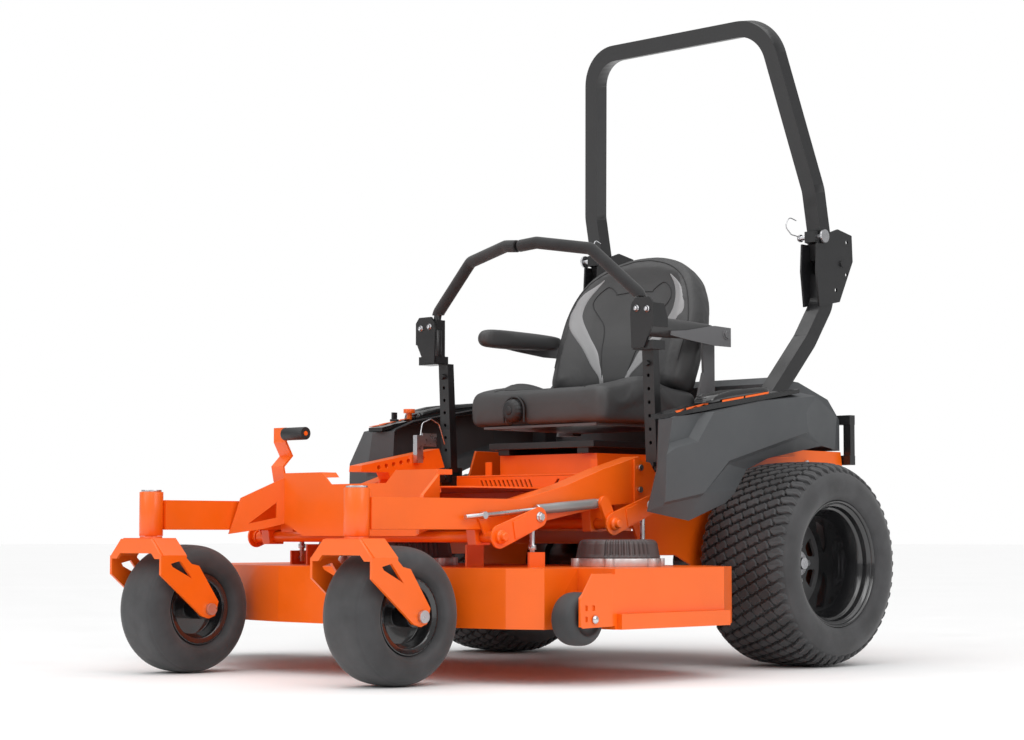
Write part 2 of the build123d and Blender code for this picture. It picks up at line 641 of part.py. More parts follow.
def make_deck_shell():
    mirrored = [(-x, y) for x, y in reversed(DECK_HALF[1:-1])]
    with BuildPart() as deck:
        flat_plate(DECK_HALF + mirrored, DECK_LOW, DECK_TOP)
        with BuildSketch(level(DECK_LOW)) as inside:
            with BuildLine():
                Polyline(*(DECK_HALF + mirrored), close=True)
            make_face()
            offset(amount=-DECK_WALL, kind=Kind.INTERSECTION)
        extrude(inside.sketch, amount=DECK_TOP - DECK_WALL - DECK_LOW, mode=Mode.SUBTRACT)
        for x, y in SPINDLES:
            rod_z(x, y, 40, DECK_TOP - DECK_WALL, DECK_TOP, Mode.SUBTRACT)
        block(-DECK_SIDE - 5, -DECK_SIDE + 10, 430, 780, DECK_LOW, 250, Mode.SUBTRACT)
        block(DECK_SIDE, DECK_SIDE + 15, 392, 801, DECK_LOW, 168)
        for _, sign in LEFT_RIGHT:
            bracket = [(264, 140), (264, 208), (322, 262), (390, 262), (390, 140)]
            side_plate(bracket, sign * 753, sign * DECK_SIDE)
            rod_x(ROLLER_Y, ROLLER_Z, 8, sign * 655, sign * 766)
            for y, _z in (ARM_FRONT_END, ARM_REAR_END):
                block(sign * ARM_IN, sign * (ARM_IN + 6), y - 28, y + 28, DECK_TOP, 312)
            block(sign * 300, sign * 306, 340, 400, DECK_TOP, 330)
    save(deck, "deck_shell")


def make_deck_drives():
    with BuildPart() as bases:
        for x, y in SPINDLES:
            with BuildSketch(level(DECK_TOP + GAP)) as disc:
                with Locations((x, y)):
                    Circle(110)
                    with PolarLocations(112, 6):
                        Circle(13)
            extrude(disc.sketch, amount=20)
            rod_z(x, y, 36, 190, DECK_TOP + GAP)
            rod_z(x, y, 16, 190, DECK_TOP + 22, Mode.SUBTRACT)
    save(bases, "spindle_bases")
    with BuildPart() as covers:
        for x, y in SPINDLES:
            with BuildSketch(level(DECK_TOP + 21)) as disc:
                with Locations((x, y)):
                    Circle(106)
            extrude(disc.sketch, amount=47, taper=8)
    save(covers, "spindle_covers")


def make_blade(name, x, y):
    with BuildPart() as blade:
        wing = BLADE_R - 70
        flat_plate([(x - BLADE_R, y - 14), (x - wing, y - 32), (x + wing, y - 32),
                    (x + BLADE_R, y + 14), (x + wing, y + 32), (x - wing, y + 32)], 150, 156)
        for turn in (1, -1):
            block(x + turn * wing, x + turn * (BLADE_R - 20), y + turn * 16 - 4,
                  y + turn * 16 + 4, 156, 168)
        rod_z(x, y, 30, 156, 170)
        rod_z(x, y, 15, 170, DECK_TOP + 18)
        rod_z(x, y, 14, 141, 150)
    save(blade, f"blade_{name}")


def make_deck_roller(name, sign):
    with BuildPart() as roller:
        turned([(-37, 9), (-37, 50), (-28, 60), (0, ROLLER_R), (28, 60), (37, 50), (37, 9)],
               sign * ROLLER_X, ROLLER_Y, ROLLER_Z)
    save(roller, f"deck_roller_{name}")


def make_chute():
    x, z = CHUTE_HINGE
    with BuildPart() as chute:
        rod_y(x, z, 7, 425, 785)
        front_plate([(x - 2, z + 6), (x - 2, z), (x - 150, z - 26), (x - 232, z - 96),
                     (x - 237, z - 92), (x - 152, z - 20)], 420, 800)
        for y0 in (420, 795):
            front_plate([(x - 10, z), (x - 150, z - 22), (x - 234, z - 94), (x - 234, z - 116),
                         (x - 10, z - 60)], y0, y0 + 5)
    save(chute, "discharge_chute")


# ---- Deck lift --------------------------------------------------------------------------------
def bar_outline(start, end, half):
    """Corners of a straight bar between two (y, z) points."""
    length = math.dist(start, end)
    u = (end[0] - start[0]) / length
    v = (end[1] - start[1]) / length
    return [
        (start[0] - half * v, start[1] + half * u), (start[0] + half * v, start[1] - half * u),
        (end[0] + half * v, end[1] - half * u), (end[0] - half * v, end[1] + half * u),
    ]


def arm(start, end, x0, x1):
    """Lift arm: a bar with a round boss on each end."""
    side_plate(bar_outline(start, end, 18), x0, x1)
    for y, z in (start, end):
        rod_x(y, z, 18, x0, x1)


PEDAL_STEP = [
    (303, 350), (296, 440), (268, 500), (260, 535), (290, 565), (268, 603), (268, 640),
    (262, 640), (262, 601), (283, 565), (254, 537), (262, 498), (290, 438), (291, 350),
]


def make_lift():
    front_pin = (LIFT_FRONT[0] + CRANK[0], LIFT_FRONT[1] + CRANK[1])
    rear_pin = (LIFT_REAR[0] + CRANK[0], LIFT_REAR[1] + CRANK[1])
    with BuildPart() as lift_front:
        rod_x(*LIFT_FRONT, 14, -ARM_OUT, ARM_OUT)
        for _, sign in LEFT_RIGHT:
            arm(LIFT_FRONT, ARM_FRONT_END, sign * ARM_IN, sign * ARM_OUT)
            side_plate(bar_outline(LIFT_FRONT, front_pin, 12), sign * 421.5, sign * 426.5)
            rod_x(*ARM_FRONT_END, 9, sign * ARM_OUT, sign * (ARM_OUT + 8))
        side_plate(PEDAL_STEP, -350, -302)
        rod_x(*PEDAL, 6, -302, -214)
        rod_x(*PEDAL, 12, -306, -300)
    save(lift_front, "lift_front")
    with BuildPart() as lift_rear:
        rod_x(*LIFT_REAR, 14, -ARM_OUT, ARM_OUT)
        for _, sign in LEFT_RIGHT:
            arm(LIFT_REAR, rear_pin, sign * ARM_IN, sign * ARM_OUT)
            arm(LIFT_REAR, ARM_REAR_END, sign * ARM_IN, sign * ARM_OUT)
            rod_x(*ARM_REAR_END, 9, sign * ARM_OUT, sign * (ARM_OUT + 8))
    save(lift_rear, "lift_rear")
    reach = math.dist(front_pin, rear_pin)
    along = Vector(0, rear_pin[0] - front_pin[0], rear_pin[1] - front_pin[1]).normalized()
    with BuildPart() as rods:
        for _, sign in LEFT_RIGHT:
            pin = Vector(MID_X + sign * ROD_X, AXLE_Y + front_pin[0], front_pin[1])
            for first, last, radius in ((-64, 185, 6), (185, reach, 12)):
                with BuildSketch(Plane(origin=pin + along * first, z_dir=along)) as disc:
                    Circle(radius)
                extrude(disc.sketch, amount=last - first)
            rod_x(*front_pin, 9, sign * 427.5, sign * 441)
            rod_x(*rear_pin, 12, sign * 422.5, sign * 446.5)
    save(rods, "lift_rods")
    with BuildPart() as hangers:
        for _, sign in LEFT_RIGHT:
            for y, z in (ARM_FRONT_END, ARM_REAR_END):
                rod_x(y, z, 9, sign * 430.5, sign * 446)
                rod_z(sign * 437, y, 6.5, 282, z)
                rod_z(sign * 437, y, 10, 318, 330)
                rod_x(y, 292, 5, sign * 443, sign * 447.5)
    save(hangers, "deck_hangers")
    with BuildPart() as grip:
        turned([(-42, 6.5), (-42, 17), (42, 17), (42, 6.5)], -256.5, *PEDAL)
    save(grip, "pedal_roller")
    with BuildPart() as pin:
        rod_x(GATE_Y, GATE_Z, 6, -360, -300)
        block(-304, -288, GATE_Y - 12, GATE_Y + 12, GATE_Z - 10, 634)
        block(-296, -290, GATE_Y + 12, GATE_Y + 66, 604, 640)
        bent_rod([(-294, 750, 630), (-294, 758, 668), (-298, 795, 682), (-302, 832, 668),
                  (-304, 856, 612)], 14, 1.5)
    save(pin, "height_pin")


# ---- Controls ---------------------------------------------------------------------------------
def make_controls():
    with BuildPart() as key:
        rod_z(-540, 880, 13, 686, 692)
        block(-544, -536, 872, 888, 692, 712)
    save(key, "key_switch")
    with BuildPart() as knob:
        rod_z(-540, 940, 8, 694, 712)
        rod_z(-540, 940, 17, 712, 724)
    save(knob, "blade_knob")


def build():
    make_main_frame()
    make_floor_pan()
    make_battery_box()
    make_battery_and_controllers()
    make_wheel_motors()
    make_console_trays()
    make_rear_hood()
    make_rear_bumper()
    make_rops_lower()
    make_rops_hoop()
    make_frame_bolts()
    make_height_gate()
    for name, sign in LEFT_RIGHT:
        make_fender(name, sign)
        make_rops_pin(name, sign)
        make_fork(name, sign)
        make_caster_hardware(name, sign)
        make_caster_wheel(name, sign)
        make_rear_wheel(name, sign)
        make_lever(name, sign)
        make_grip(name, sign)
        make_armrest(name, sign)
        make_deck_roller(name, sign)
    make_seat()
    make_deck_shell()
    make_deck_drives()
    for name, (x, y) in zip(SPINDLE_NAMES, SPINDLES):
        make_blade(name, x, y)
    make_chute()
    make_lift()
    make_controls()


build()
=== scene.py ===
import json
import math

import bmesh
import bpy
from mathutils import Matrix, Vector
from mathutils.bvhtree import BVHTree


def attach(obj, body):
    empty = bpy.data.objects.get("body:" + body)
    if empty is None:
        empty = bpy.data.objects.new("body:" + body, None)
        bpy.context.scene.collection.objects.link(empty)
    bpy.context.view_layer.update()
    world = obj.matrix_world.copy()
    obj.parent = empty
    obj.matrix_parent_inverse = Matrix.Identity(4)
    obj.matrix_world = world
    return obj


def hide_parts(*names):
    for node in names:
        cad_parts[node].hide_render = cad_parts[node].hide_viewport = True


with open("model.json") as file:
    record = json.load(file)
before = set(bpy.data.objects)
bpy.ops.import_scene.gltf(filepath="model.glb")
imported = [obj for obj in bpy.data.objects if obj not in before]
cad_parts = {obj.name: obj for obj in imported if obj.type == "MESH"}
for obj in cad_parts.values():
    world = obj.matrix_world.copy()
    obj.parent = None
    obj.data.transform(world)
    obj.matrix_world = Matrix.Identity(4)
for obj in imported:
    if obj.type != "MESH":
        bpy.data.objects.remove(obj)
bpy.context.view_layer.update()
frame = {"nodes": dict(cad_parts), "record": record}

# ---- Datum ------------------------------------------------------------------------------------
# Places are given in the mower's own datum, in millimetres: x from its mid-plane (left is plus),
# y back from the front caster axles, z up from the ground.
MID_X = 115.0
AXLE_Y = -830.0
SIDES = (("left", 1), ("right", -1))


def place(x, y, z):
    """Datum millimetres to row metres."""
    return Vector(((x + MID_X) / 1000, (y + AXLE_Y) / 1000, z / 1000))


# ---- Materials --------------------------------------------------------------------------------
NOISE_LOW = 0.3
NOISE_HIGH = 0.7
SMEARS_PER_PATCH = 3.5
BUMP_STRENGTH = 0.6


def noise_node(tree, scale, detail=4.0):
    """Noise in the row's own metres, so that its grain has a real size."""
    coords = tree.nodes.new("ShaderNodeTexCoord")
    noise = tree.nodes.new("ShaderNodeTexNoise")
    noise.inputs["Scale"].default_value = scale
    noise.inputs["Detail"].default_value = detail
    tree.links.new(coords.outputs["Object"], noise.inputs["Vector"])
    return noise


def spread(tree, value, low, high):
    """Map a 0..1 texture value to a narrow range."""
    node = tree.nodes.new("ShaderNodeMapRange")
    node.inputs["From Min"].default_value = NOISE_LOW
    node.inputs["From Max"].default_value = NOISE_HIGH
    node.inputs["To Min"].default_value = low
    node.inputs["To Max"].default_value = high
    tree.links.new(value, node.inputs["Value"])
    return node.outputs["Result"]


def surface(name, color, rough, tint=0.08, metallic=0.0, coat=0.0, coat_rough=0.1,
            patch=6.0, grain=600.0, relief=0.0, cells=False, rough_range=0.06, sheen=0.0):
    """Principled material with uneven colour and roughness, and a fine surface relief."""
    made = bpy.data.materials.new(name)
    made.use_nodes = True
    tree = made.node_tree
    shader = tree.nodes["Principled BSDF"]
    shader.inputs["Metallic"].default_value = metallic
    shader.inputs["Coat Weight"].default_value = coat
    shader.inputs["Coat Roughness"].default_value = coat_rough
    shader.inputs["Sheen Weight"].default_value = sheen
    patches = noise_node(tree, patch)
    ramp = tree.nodes.new("ShaderNodeValToRGB")
    ramp.color_ramp.elements[0].position = NOISE_LOW
    ramp.color_ramp.elements[1].position = NOISE_HIGH
    ramp.color_ramp.elements[0].color = [c * (1 - tint) for c in color] + [1]
    ramp.color_ramp.elements[1].color = [min(1, c * (1 + tint)) for c in color] + [1]
    tree.links.new(patches.outputs["Fac"], ramp.inputs["Fac"])
    tree.links.new(ramp.outputs["Color"], shader.inputs["Base Color"])
    smears = noise_node(tree, patch * SMEARS_PER_PATCH)
    tree.links.new(spread(tree, smears.outputs["Fac"], rough - rough_range, rough + rough_range),
                   shader.inputs["Roughness"])
    if cells:
        fine = tree.nodes.new("ShaderNodeTexVoronoi")
        fine.inputs["Scale"].default_value = grain
        coords = tree.nodes.new("ShaderNodeTexCoord")
        tree.links.new(coords.outputs["Object"], fine.inputs["Vector"])
        height = fine.outputs["Distance"]
    else:
        height = noise_node(tree, grain, 2.0).outputs["Fac"]
    bump = tree.nodes.new("ShaderNodeBump")
    bump.inputs["Strength"].default_value = BUMP_STRENGTH
    bump.inputs["Distance"].default_value = relief
    tree.links.new(height, bump.inputs["Height"])
    tree.links.new(bump.outputs["Normal"], shader.inputs["Normal"])
    return made


MATERIALS = {
    "orange_paint": surface("orange_paint", (0.9, 0.13, 0.002), 0.38, tint=0.05, coat=0.22,
                            coat_rough=0.1, grain=260, relief=0.00012),
    "black_paint": surface("black_paint", (0.012, 0.012, 0.013), 0.34, coat=0.25, grain=900,
                           relief=0.00015),
    "grey_paint": surface("grey_paint", (0.12, 0.12, 0.125), 0.4, coat=0.2, grain=900,
                          relief=0.00012),
    "gloss_rim": surface("gloss_rim", (0.012, 0.012, 0.013), 0.2, coat=0.7, coat_rough=0.06,
                         grain=300, relief=0.0001),
    "zinc": surface("zinc", (0.62, 0.62, 0.64), 0.3, metallic=1.0, patch=22, grain=1500,
                    relief=0.00002, rough_range=0.05),
    "blade_steel": surface("blade_steel", (0.3, 0.31, 0.33), 0.42, metallic=0.9, patch=40,
                           grain=1200, relief=0.0001),
    "cast_alloy": surface("cast_alloy", (0.62, 0.6, 0.6), 0.45, metallic=0.75, patch=30,
                          grain=700, relief=0.0003),
    "dark_plastic": surface("dark_plastic", (0.062, 0.066, 0.07), 0.52, grain=1400,
                            relief=0.00022, cells=True),
    "black_plastic": surface("black_plastic", (0.014, 0.014, 0.015), 0.45, grain=1400,
                             relief=0.0002, cells=True),
    "cover_plastic": surface("cover_plastic", (0.075, 0.062, 0.062), 0.4, grain=900,
                             relief=0.00015),
    "tyre_rubber": surface("tyre_rubber", (0.036, 0.036, 0.038), 0.66, tint=0.34, patch=11,
                           grain=800, relief=0.0003, sheen=0.15),
    "roller_rubber": surface("roller_rubber", (0.04, 0.042, 0.044), 0.6, tint=0.15, grain=600,
                             relief=0.0002),
    "foam_grip": surface("foam_grip", (0.014, 0.014, 0.015), 0.82, grain=1300, relief=0.0005,
                         sheen=0.2),
    "vinyl": surface("vinyl", (0.046, 0.046, 0.047), 0.5, grain=520, relief=0.0004, cells=True,
                     coat=0.08, coat_rough=0.4),
}
# Finishes of parts of a piece, beside the slots above
ACCENT = surface("vinyl_accent", (0.3, 0.3, 0.305), 0.5, grain=520, relief=0.0004, cells=True)
GLOSS = surface("gloss_black", (0.012, 0.012, 0.013), 0.2, coat=0.6, coat_rough=0.05, grain=300,
                relief=0.00008)
LENS = surface("lamp_lens", (0.16, 0.012, 0.01), 0.15, coat=0.8, coat_rough=0.04, grain=260,
               relief=0.0002, cells=True)
# Dark vinyl for the real seams, also used for the painted shade ring round the dial recess
SEAM_AND_SHADE = surface("vinyl_seam_and_shade", (0.02, 0.02, 0.021), 0.6, grain=800, relief=0.0003)
DISC_GREY = surface("disc_grey", (0.07, 0.07, 0.072), 0.36, coat=0.25, grain=700, relief=0.0001)
TUBE_GREY = surface("tube_grey", (0.3, 0.31, 0.31), 0.38, metallic=0.4, grain=900,
                    relief=0.00008)


# ---- Mesh helpers -----------------------------------------------------------------------------
def side_place(sign):
    """Function that takes (y, z, x) to row metres, on the left or mirrored to the right."""
    def to_row(y, z, x):
        return place(sign * x, y, z)
    return to_row


def front_place(x, z, y):
    """Datum millimetres, given as seen from the front, to row metres."""
    return place(x, y, z)


def mirrored(points):
    """Points on the other side of the middle, in reverse order."""
    return [(-p[0], p[1]) for p in reversed(points)]


def ring_faces(rings, count, wrap=False):
    """Quads between rings of count points, and from the last ring to the first if they wrap."""
    faces = []
    for i in range(rings if wrap else rings - 1):
        a = i * count
        b = (i + 1) % rings * count
        for j in range(count):
            k = (j + 1) % count
            faces.append((a + j, a + k, b + k, b + j))
    return faces


def capped_faces(rings, count):
    """The quads between rings of count points, with a face over each end."""
    last = (rings - 1) * count
    return ring_faces(rings, count) + [tuple(range(count)), tuple(range(last, last + count))]


def mesh_object(name, points, faces, smooth=True):
    """Object from row-frame points and faces, with its normals facing out."""
    mesh = bpy.data.meshes.new(name)
    mesh.from_pydata([tuple(p) for p in points], [], faces)
    shape = bmesh.new()
    shape.from_mesh(mesh)
    bmesh.ops.recalc_face_normals(shape, faces=shape.faces)
    shape.to_mesh(mesh)
    shape.free()
    mesh.polygons.foreach_set("use_smooth", [smooth] * len(mesh.polygons))
    made = bpy.data.objects.new(name, mesh)
    bpy.context.scene.collection.objects.link(made)
    return made


def dress(piece, body, slot, material=None, replaces=()):
    """Give a piece its material, the body that it rides on and what it stands for."""
    piece.data.materials.clear()
    piece.data.materials.append(material or MATERIALS[slot])
    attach(piece, body)
    if replaces:
        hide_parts(*replaces)
    return piece


WELD_DISTANCE = 0.00002
HARD_EDGE = math.radians(32)


def round_edges(piece, width=0.0012, segments=2):
    """Soften the hard edges of a piece."""
    weld = piece.modifiers.new("weld", "WELD")
    weld.merge_threshold = WELD_DISTANCE
    bevel = piece.modifiers.new("round", "BEVEL")
    bevel.width = width
    bevel.segments = segments
    bevel.limit_method = "ANGLE"
    bevel.angle_limit = HARD_EDGE
    bevel.harden_normals = True
    bevel.use_clamp_overlap = True


def smooth_line(points, steps=6, closed=False):
    """Points along a Catmull-Rom curve through the given ones."""
    count = len(points)
    spans = count if closed else count - 1
    line = []
    for i in range(spans):
        around = []
        for j in (i - 1, i, i + 1, i + 2):
            around.append(points[j % count] if closed else points[min(max(j, 0), count - 1)])
        a, b, c, d = (Vector(p) for p in around)
        for k in range(steps):
            t = k / steps
            line.append(0.5 * (2 * b + (c - a) * t + (2 * a - 5 * b + 4 * c - d) * t * t
                               + (3 * b - a - 3 * c + d) * t ** 3))
    if not closed:
        line.append(Vector(points[-1]))
    return line


def lathe(name, outline, centre, turns=96, smooth=True):
    """Closed (across, radius) outline turned about the X axis through centre, all in mm."""
    points = []
    for i in range(turns):
        angle = 2 * math.pi * i / turns
        for u, r in outline:
            points.append(place(centre[0] + u, centre[1] + r * math.sin(angle),
                                centre[2] + r * math.cos(angle)))
    faces = ring_faces(turns, len(outline), wrap=True)
    return mesh_object(name, points, faces, smooth)


def join(pieces, name):
    """Join several new objects into one."""
    bpy.ops.object.select_all(action="DESELECT")
    for piece in pieces:
        piece.select_set(True)
    bpy.context.view_layer.objects.active = pieces[0]
    bpy.ops.object.join()
    pieces[0].name = name
    return pieces[0]


# ---- Camera, light and floor ------------------------------------------------------------------
CAMERA_PLACE = (4.5319, -4.5731, 0.3587)
CAMERA_TURN = math.radians(44.08)
CAMERA_TILT = math.radians(4.04)
CAMERA_LENS = 81.32
SENSOR_WIDTH = 36.0
CAMERA_REACH = 200.0
AREA_LIGHTS = (
    # name, place, size, power
    ("key", (4.4, -0.6, 2.6), (2.6, 2.2), 46),
    ("front", (-1.2, -4.6, 2.2), (3.0, 1.6), 26),
)
LIGHT_TARGET = Vector((0.1, 0, 0.6))
SUN_POWER = 2.45
SUN_SPREAD = math.radians(100)
SUN_WAY = Vector((-0.1, 0.25, -1))
AMBIENT_STRENGTH = 0.42
BACKDROP_STRENGTH = 1.0
FLOOR_HALF = 60.0
FLOOR_DROP = 0.0005


def facing(way):
    """Rotation of a camera or light that looks along a direction."""
    return way.to_track_quat("-Z", "Y").to_euler()


def make_camera():
    data = bpy.data.cameras.new("camera")
    data.lens = CAMERA_LENS
    data.sensor_width = SENSOR_WIDTH
    data.clip_end = CAMERA_REACH
    camera = bpy.data.objects.new("camera", data)
    bpy.context.scene.collection.objects.link(camera)
    camera.location = CAMERA_PLACE
    level = math.cos(CAMERA_TILT)
    camera.rotation_euler = facing(Vector((-math.sin(CAMERA_TURN) * level,
                                           math.cos(CAMERA_TURN) * level,
                                           math.sin(CAMERA_TILT))))
    bpy.context.scene.camera = camera


def make_area_light(name, location, size, power):
    data = bpy.data.lights.new(name, "AREA")
    data.shape = "RECTANGLE"
    data.size, data.size_y = size
    data.energy = power
    light = bpy.data.objects.new(name, data)
    light.location = location
    light.rotation_euler = facing(LIGHT_TARGET - Vector(location))
    bpy.context.scene.collection.objects.link(light)


def make_sun():
    data = bpy.data.lights.new("soft_sun", "SUN")
    data.energy = SUN_POWER
    data.angle = SUN_SPREAD
    sun = bpy.data.objects.new("soft_sun", data)
    sun.rotation_euler = facing(SUN_WAY)
    bpy.context.scene.collection.objects.link(sun)


def make_floor():
    half = FLOOR_HALF
    corners = [(-half, -half, 0), (half, -half, 0), (half, half, 0), (-half, half, 0)]
    floor = mesh_object("floor", corners, [(0, 1, 2, 3)], False)
    floor.location.z = -FLOOR_DROP
    floor.data.materials.append(surface("pale_floor", (0.9, 0.9, 0.9), 0.55, tint=0.01,
                                        patch=1.0, grain=300, relief=0.00002))


def make_studio():
    """A white backdrop that lights softly, three lights and a floor."""
    scene = bpy.context.scene
    scene.view_settings.view_transform = "Standard"
    world = bpy.data.worlds.new("studio")
    world.use_nodes = True
    tree = world.node_tree
    glow = tree.nodes["Background"]
    glow.inputs["Color"].default_value = (1, 1, 1, 1)
    glow.inputs["Strength"].default_value = AMBIENT_STRENGTH
    backdrop = tree.nodes.new("ShaderNodeBackground")
    backdrop.inputs["Color"].default_value = (1, 1, 1, 1)
    backdrop.inputs["Strength"].default_value = BACKDROP_STRENGTH
    rays = tree.nodes.new("ShaderNodeLightPath")
    mix = tree.nodes.new("ShaderNodeMixShader")
    tree.links.new(rays.outputs["Is Camera Ray"], mix.inputs["Fac"])
    tree.links.new(glow.outputs["Background"], mix.inputs[1])
    tree.links.new(backdrop.outputs["Background"], mix.inputs[2])
    tree.links.new(mix.outputs["Shader"], tree.nodes["World Output"].inputs["Surface"])
    scene.world = world
    for light in AREA_LIGHTS:
        make_area_light(*light)
    make_sun()
    make_floor()


# ---- CAD nodes that stay ----------------------------------------------------------------------
def dress_frame():
    """Every CAD node gets its slot's material and softened edges."""
    slots = {row["node"]: row["material_slot"] for row in frame["record"]["subparts"]}
    for node, piece in frame["nodes"].items():
        piece.data.materials.clear()
        piece.data.materials.append(MATERIALS[slots[node]])
        round_edges(piece)


# ---- Wheels -----------------------------------------------------------------------------------
CASTER_X = 393
CASTER_RADIUS = 165
GROOVE_AT = 57
GROOVE_WIDTH = 1.8
GROOVE_DEPTH = 1.2
GROOVE_FOOT = 140
ROLLER_X = 709
ROLLER_SPOT = (307, 157)
REAR_X = 563
REAR_Y = 1362
REAR_RADIUS = 277
REAR_Z = REAR_RADIUS
CROWN_HALF = 96
CROWN_DROP = 4
SHOULDER_WIDTH = 32
SHOULDER_DROP = 12
TREAD_DEPTH = 9.5
TREAD_ROWS = 8
TREAD_PITCH = 34.0
TREAD_COUNT = 54
BLOCK_HALF_WIDTH = 18.5
BLOCK_HALF_LENGTH = 12.5
BLOCK_TAPER = 0.62
BLOCK_SWAY = 4.6
BLOCK_STATIONS = (-1, -0.72, -0.38, 0, 0.38, 0.72, 1)
BLOCK_RINGS = ((1.04, 11.0), (0.98, 2.2), (0.82, 0.0))


def tread_radius(u):
    """Radius of the rear tyre's crown at a distance u from its middle."""
    u = abs(u)
    if u < CROWN_HALF:
        return REAR_RADIUS - CROWN_DROP * (u / CROWN_HALF) ** 2
    shoulder = (u - CROWN_HALF) / SHOULDER_WIDTH
    return REAR_RADIUS - CROWN_DROP - SHOULDER_DROP * shoulder ** 1.8


def tread_block(points, faces, centre, row, turn):
    """One wavy turf block: a bevelled lens with an S-shaped middle line."""
    middle = (row - (TREAD_ROWS - 1) / 2) * TREAD_PITCH
    rim = []
    for side, stations in ((1, BLOCK_STATIONS), (-1, BLOCK_STATIONS[::-1])):
        for t in stations:
            along = side * BLOCK_HALF_LENGTH * (1 - BLOCK_TAPER * t * t)
            rim.append((BLOCK_HALF_WIDTH * t, along + BLOCK_SWAY * math.sin(math.pi * t)))
    start = len(points)
    for grow, drop in BLOCK_RINGS:
        for u, s in rim:
            across = middle + u * grow
            radius = tread_radius(across) - drop
            angle = turn + s * grow / REAR_RADIUS
            points.append(place(centre[0] + across, centre[1] + radius * math.sin(angle),
                                centre[2] + radius * math.cos(angle)))
    n = len(rim)
    for face in ring_faces(len(BLOCK_RINGS), n):
        faces.append(tuple(start + j for j in face))
    faces.append(tuple(start + 2 * n + j for j in range(n)))
    faces.append(tuple(start + j for j in reversed(range(n))))


def make_rear_tyre(name, sign):
    centre = (sign * REAR_X, REAR_Y, REAR_Z)
    crown = [(u, tread_radius(u) - TREAD_DEPTH) for u in range(-126, 127, 18)]
    side = [(140, 244), (149, 226), (151.5, 208), (149.5, 192), (143, 180), (139.5, 176.5)]
    bead = [(137.5, 172.6), (126.5, 172.2), (126.5, 160.5), (60, 140.5)]
    wall = smooth_line(side, 4) + [Vector(p) for p in bead]
    carcass = lathe("carcass", crown + wall + mirrored(wall), centre, 160)
    points, faces = [], []
    for row in range(TREAD_ROWS):
        for count in range(TREAD_COUNT):
            turn = 2 * math.pi * (count + 0.5 * (row % 2)) / TREAD_COUNT
            tread_block(points, faces, centre, row, turn)
    blocks = mesh_object("blocks", points, faces, False)
    tyre = join([carcass, blocks], f"turf_tyre_{name}")
    dress(tyre, f"drive_wheel_{name}", "tyre_rubber", replaces=[f"rear_tyre_{name}"])


def make_caster_tyre(name, sign):
    centre = (sign * CASTER_X, 0, CASTER_RADIUS)
    half = [(0, CASTER_RADIUS), (30, 164), (50, 161.5), (63, 156), (74, 146), (80.5, 132),
            (82, 118), (79, 107), (72, 100), (66, 96)]
    ribs = []
    for u, r in smooth_line(half, 5):
        groove = GROOVE_DEPTH * math.exp(-((u - GROOVE_AT) / GROOVE_WIDTH) ** 2)
        ribs.append(Vector((u, r - groove * (r > GROOVE_FOOT))))
    bead = [Vector((57, 93)), Vector((53.2, 80.6))]
    outline = ribs + bead + mirrored(ribs[1:] + bead)
    tyre = lathe(f"smooth_tyre_{name}", outline, centre, 120)
    dress(tyre, f"caster_wheel_{name}", "tyre_rubber", replaces=[f"caster_tyre_{name}"])


def make_anti_scalp_roller(name, sign):
    half = [(0, 63.4), (16, 62.6), (27, 59.5), (34.5, 52), (37, 44), (36, 40)]
    outline = smooth_line(half, 4)
    outline += [Vector((31, 38)), Vector((30, 14)), Vector((37, 13)), Vector((37, 9))]
    outline += mirrored(outline[1:])
    roller = lathe(f"scalp_roller_{name}", outline, (sign * ROLLER_X, *ROLLER_SPOT), 72)
    dress(roller, f"scalp_wheel_{name}", "roller_rubber", replaces=[f"deck_roller_{name}"])


# ---- Seat -------------------------------------------------------------------------------------
SWELL_PRESSURE = 4.0
SWELL_FRAMES = 20
SWELL_QUALITY = 4
RAY_START = 0.3
SEAM_RADIUS = 0.0016
# Radius of the dark tube that paints the shade line round the dial recess
SHADOW_RING_RADIUS = 0.0032
STRIP_LIFT = 0.0016
STRIP_TUCK = -0.0015
STRIP_THICKNESS = 0.003
STRIP_CELLS = 7


def lowered(face, fall):
    """A pad's face, lower by fall."""
    def height(u, v):
        return face(u, v) - fall
    return height


def closed_form(name, outline, rings, to_row):
    """Closed pad of (scale, height) rings, from the middle of one face to that of the other."""
    middle = Vector((sum(p[0] for p in outline) / len(outline),
                     sum(p[1] for p in outline) / len(outline)))

    def spot(u, v, height):
        return to_row(u, v, height(u, v) if callable(height) else height)

    points = []
    for scale, height in rings:
        for px, py in outline:
            points.append(spot(middle.x + (px - middle.x) * scale,
                               middle.y + (py - middle.y) * scale, height))
    n = len(outline)
    faces = ring_faces(len(rings), n)
    for i in (0, len(rings) - 1):
        points.append(spot(middle.x, middle.y, rings[i][1]))
        for j in range(n):
            faces.append((i * n + j, i * n + (j + 1) % n, len(points) - 1))
    return mesh_object(name, points, faces)


def apply_modifiers(piece):
    """Turn a piece's modifiers into mesh."""
    bpy.context.view_layer.update()
    graph = bpy.context.evaluated_depsgraph_get()
    final = bpy.data.meshes.new_from_object(piece.evaluated_get(graph))
    piece.modifiers.clear()
    piece.data = final
    final.polygons.foreach_set("use_smooth", [True] * len(final.polygons))


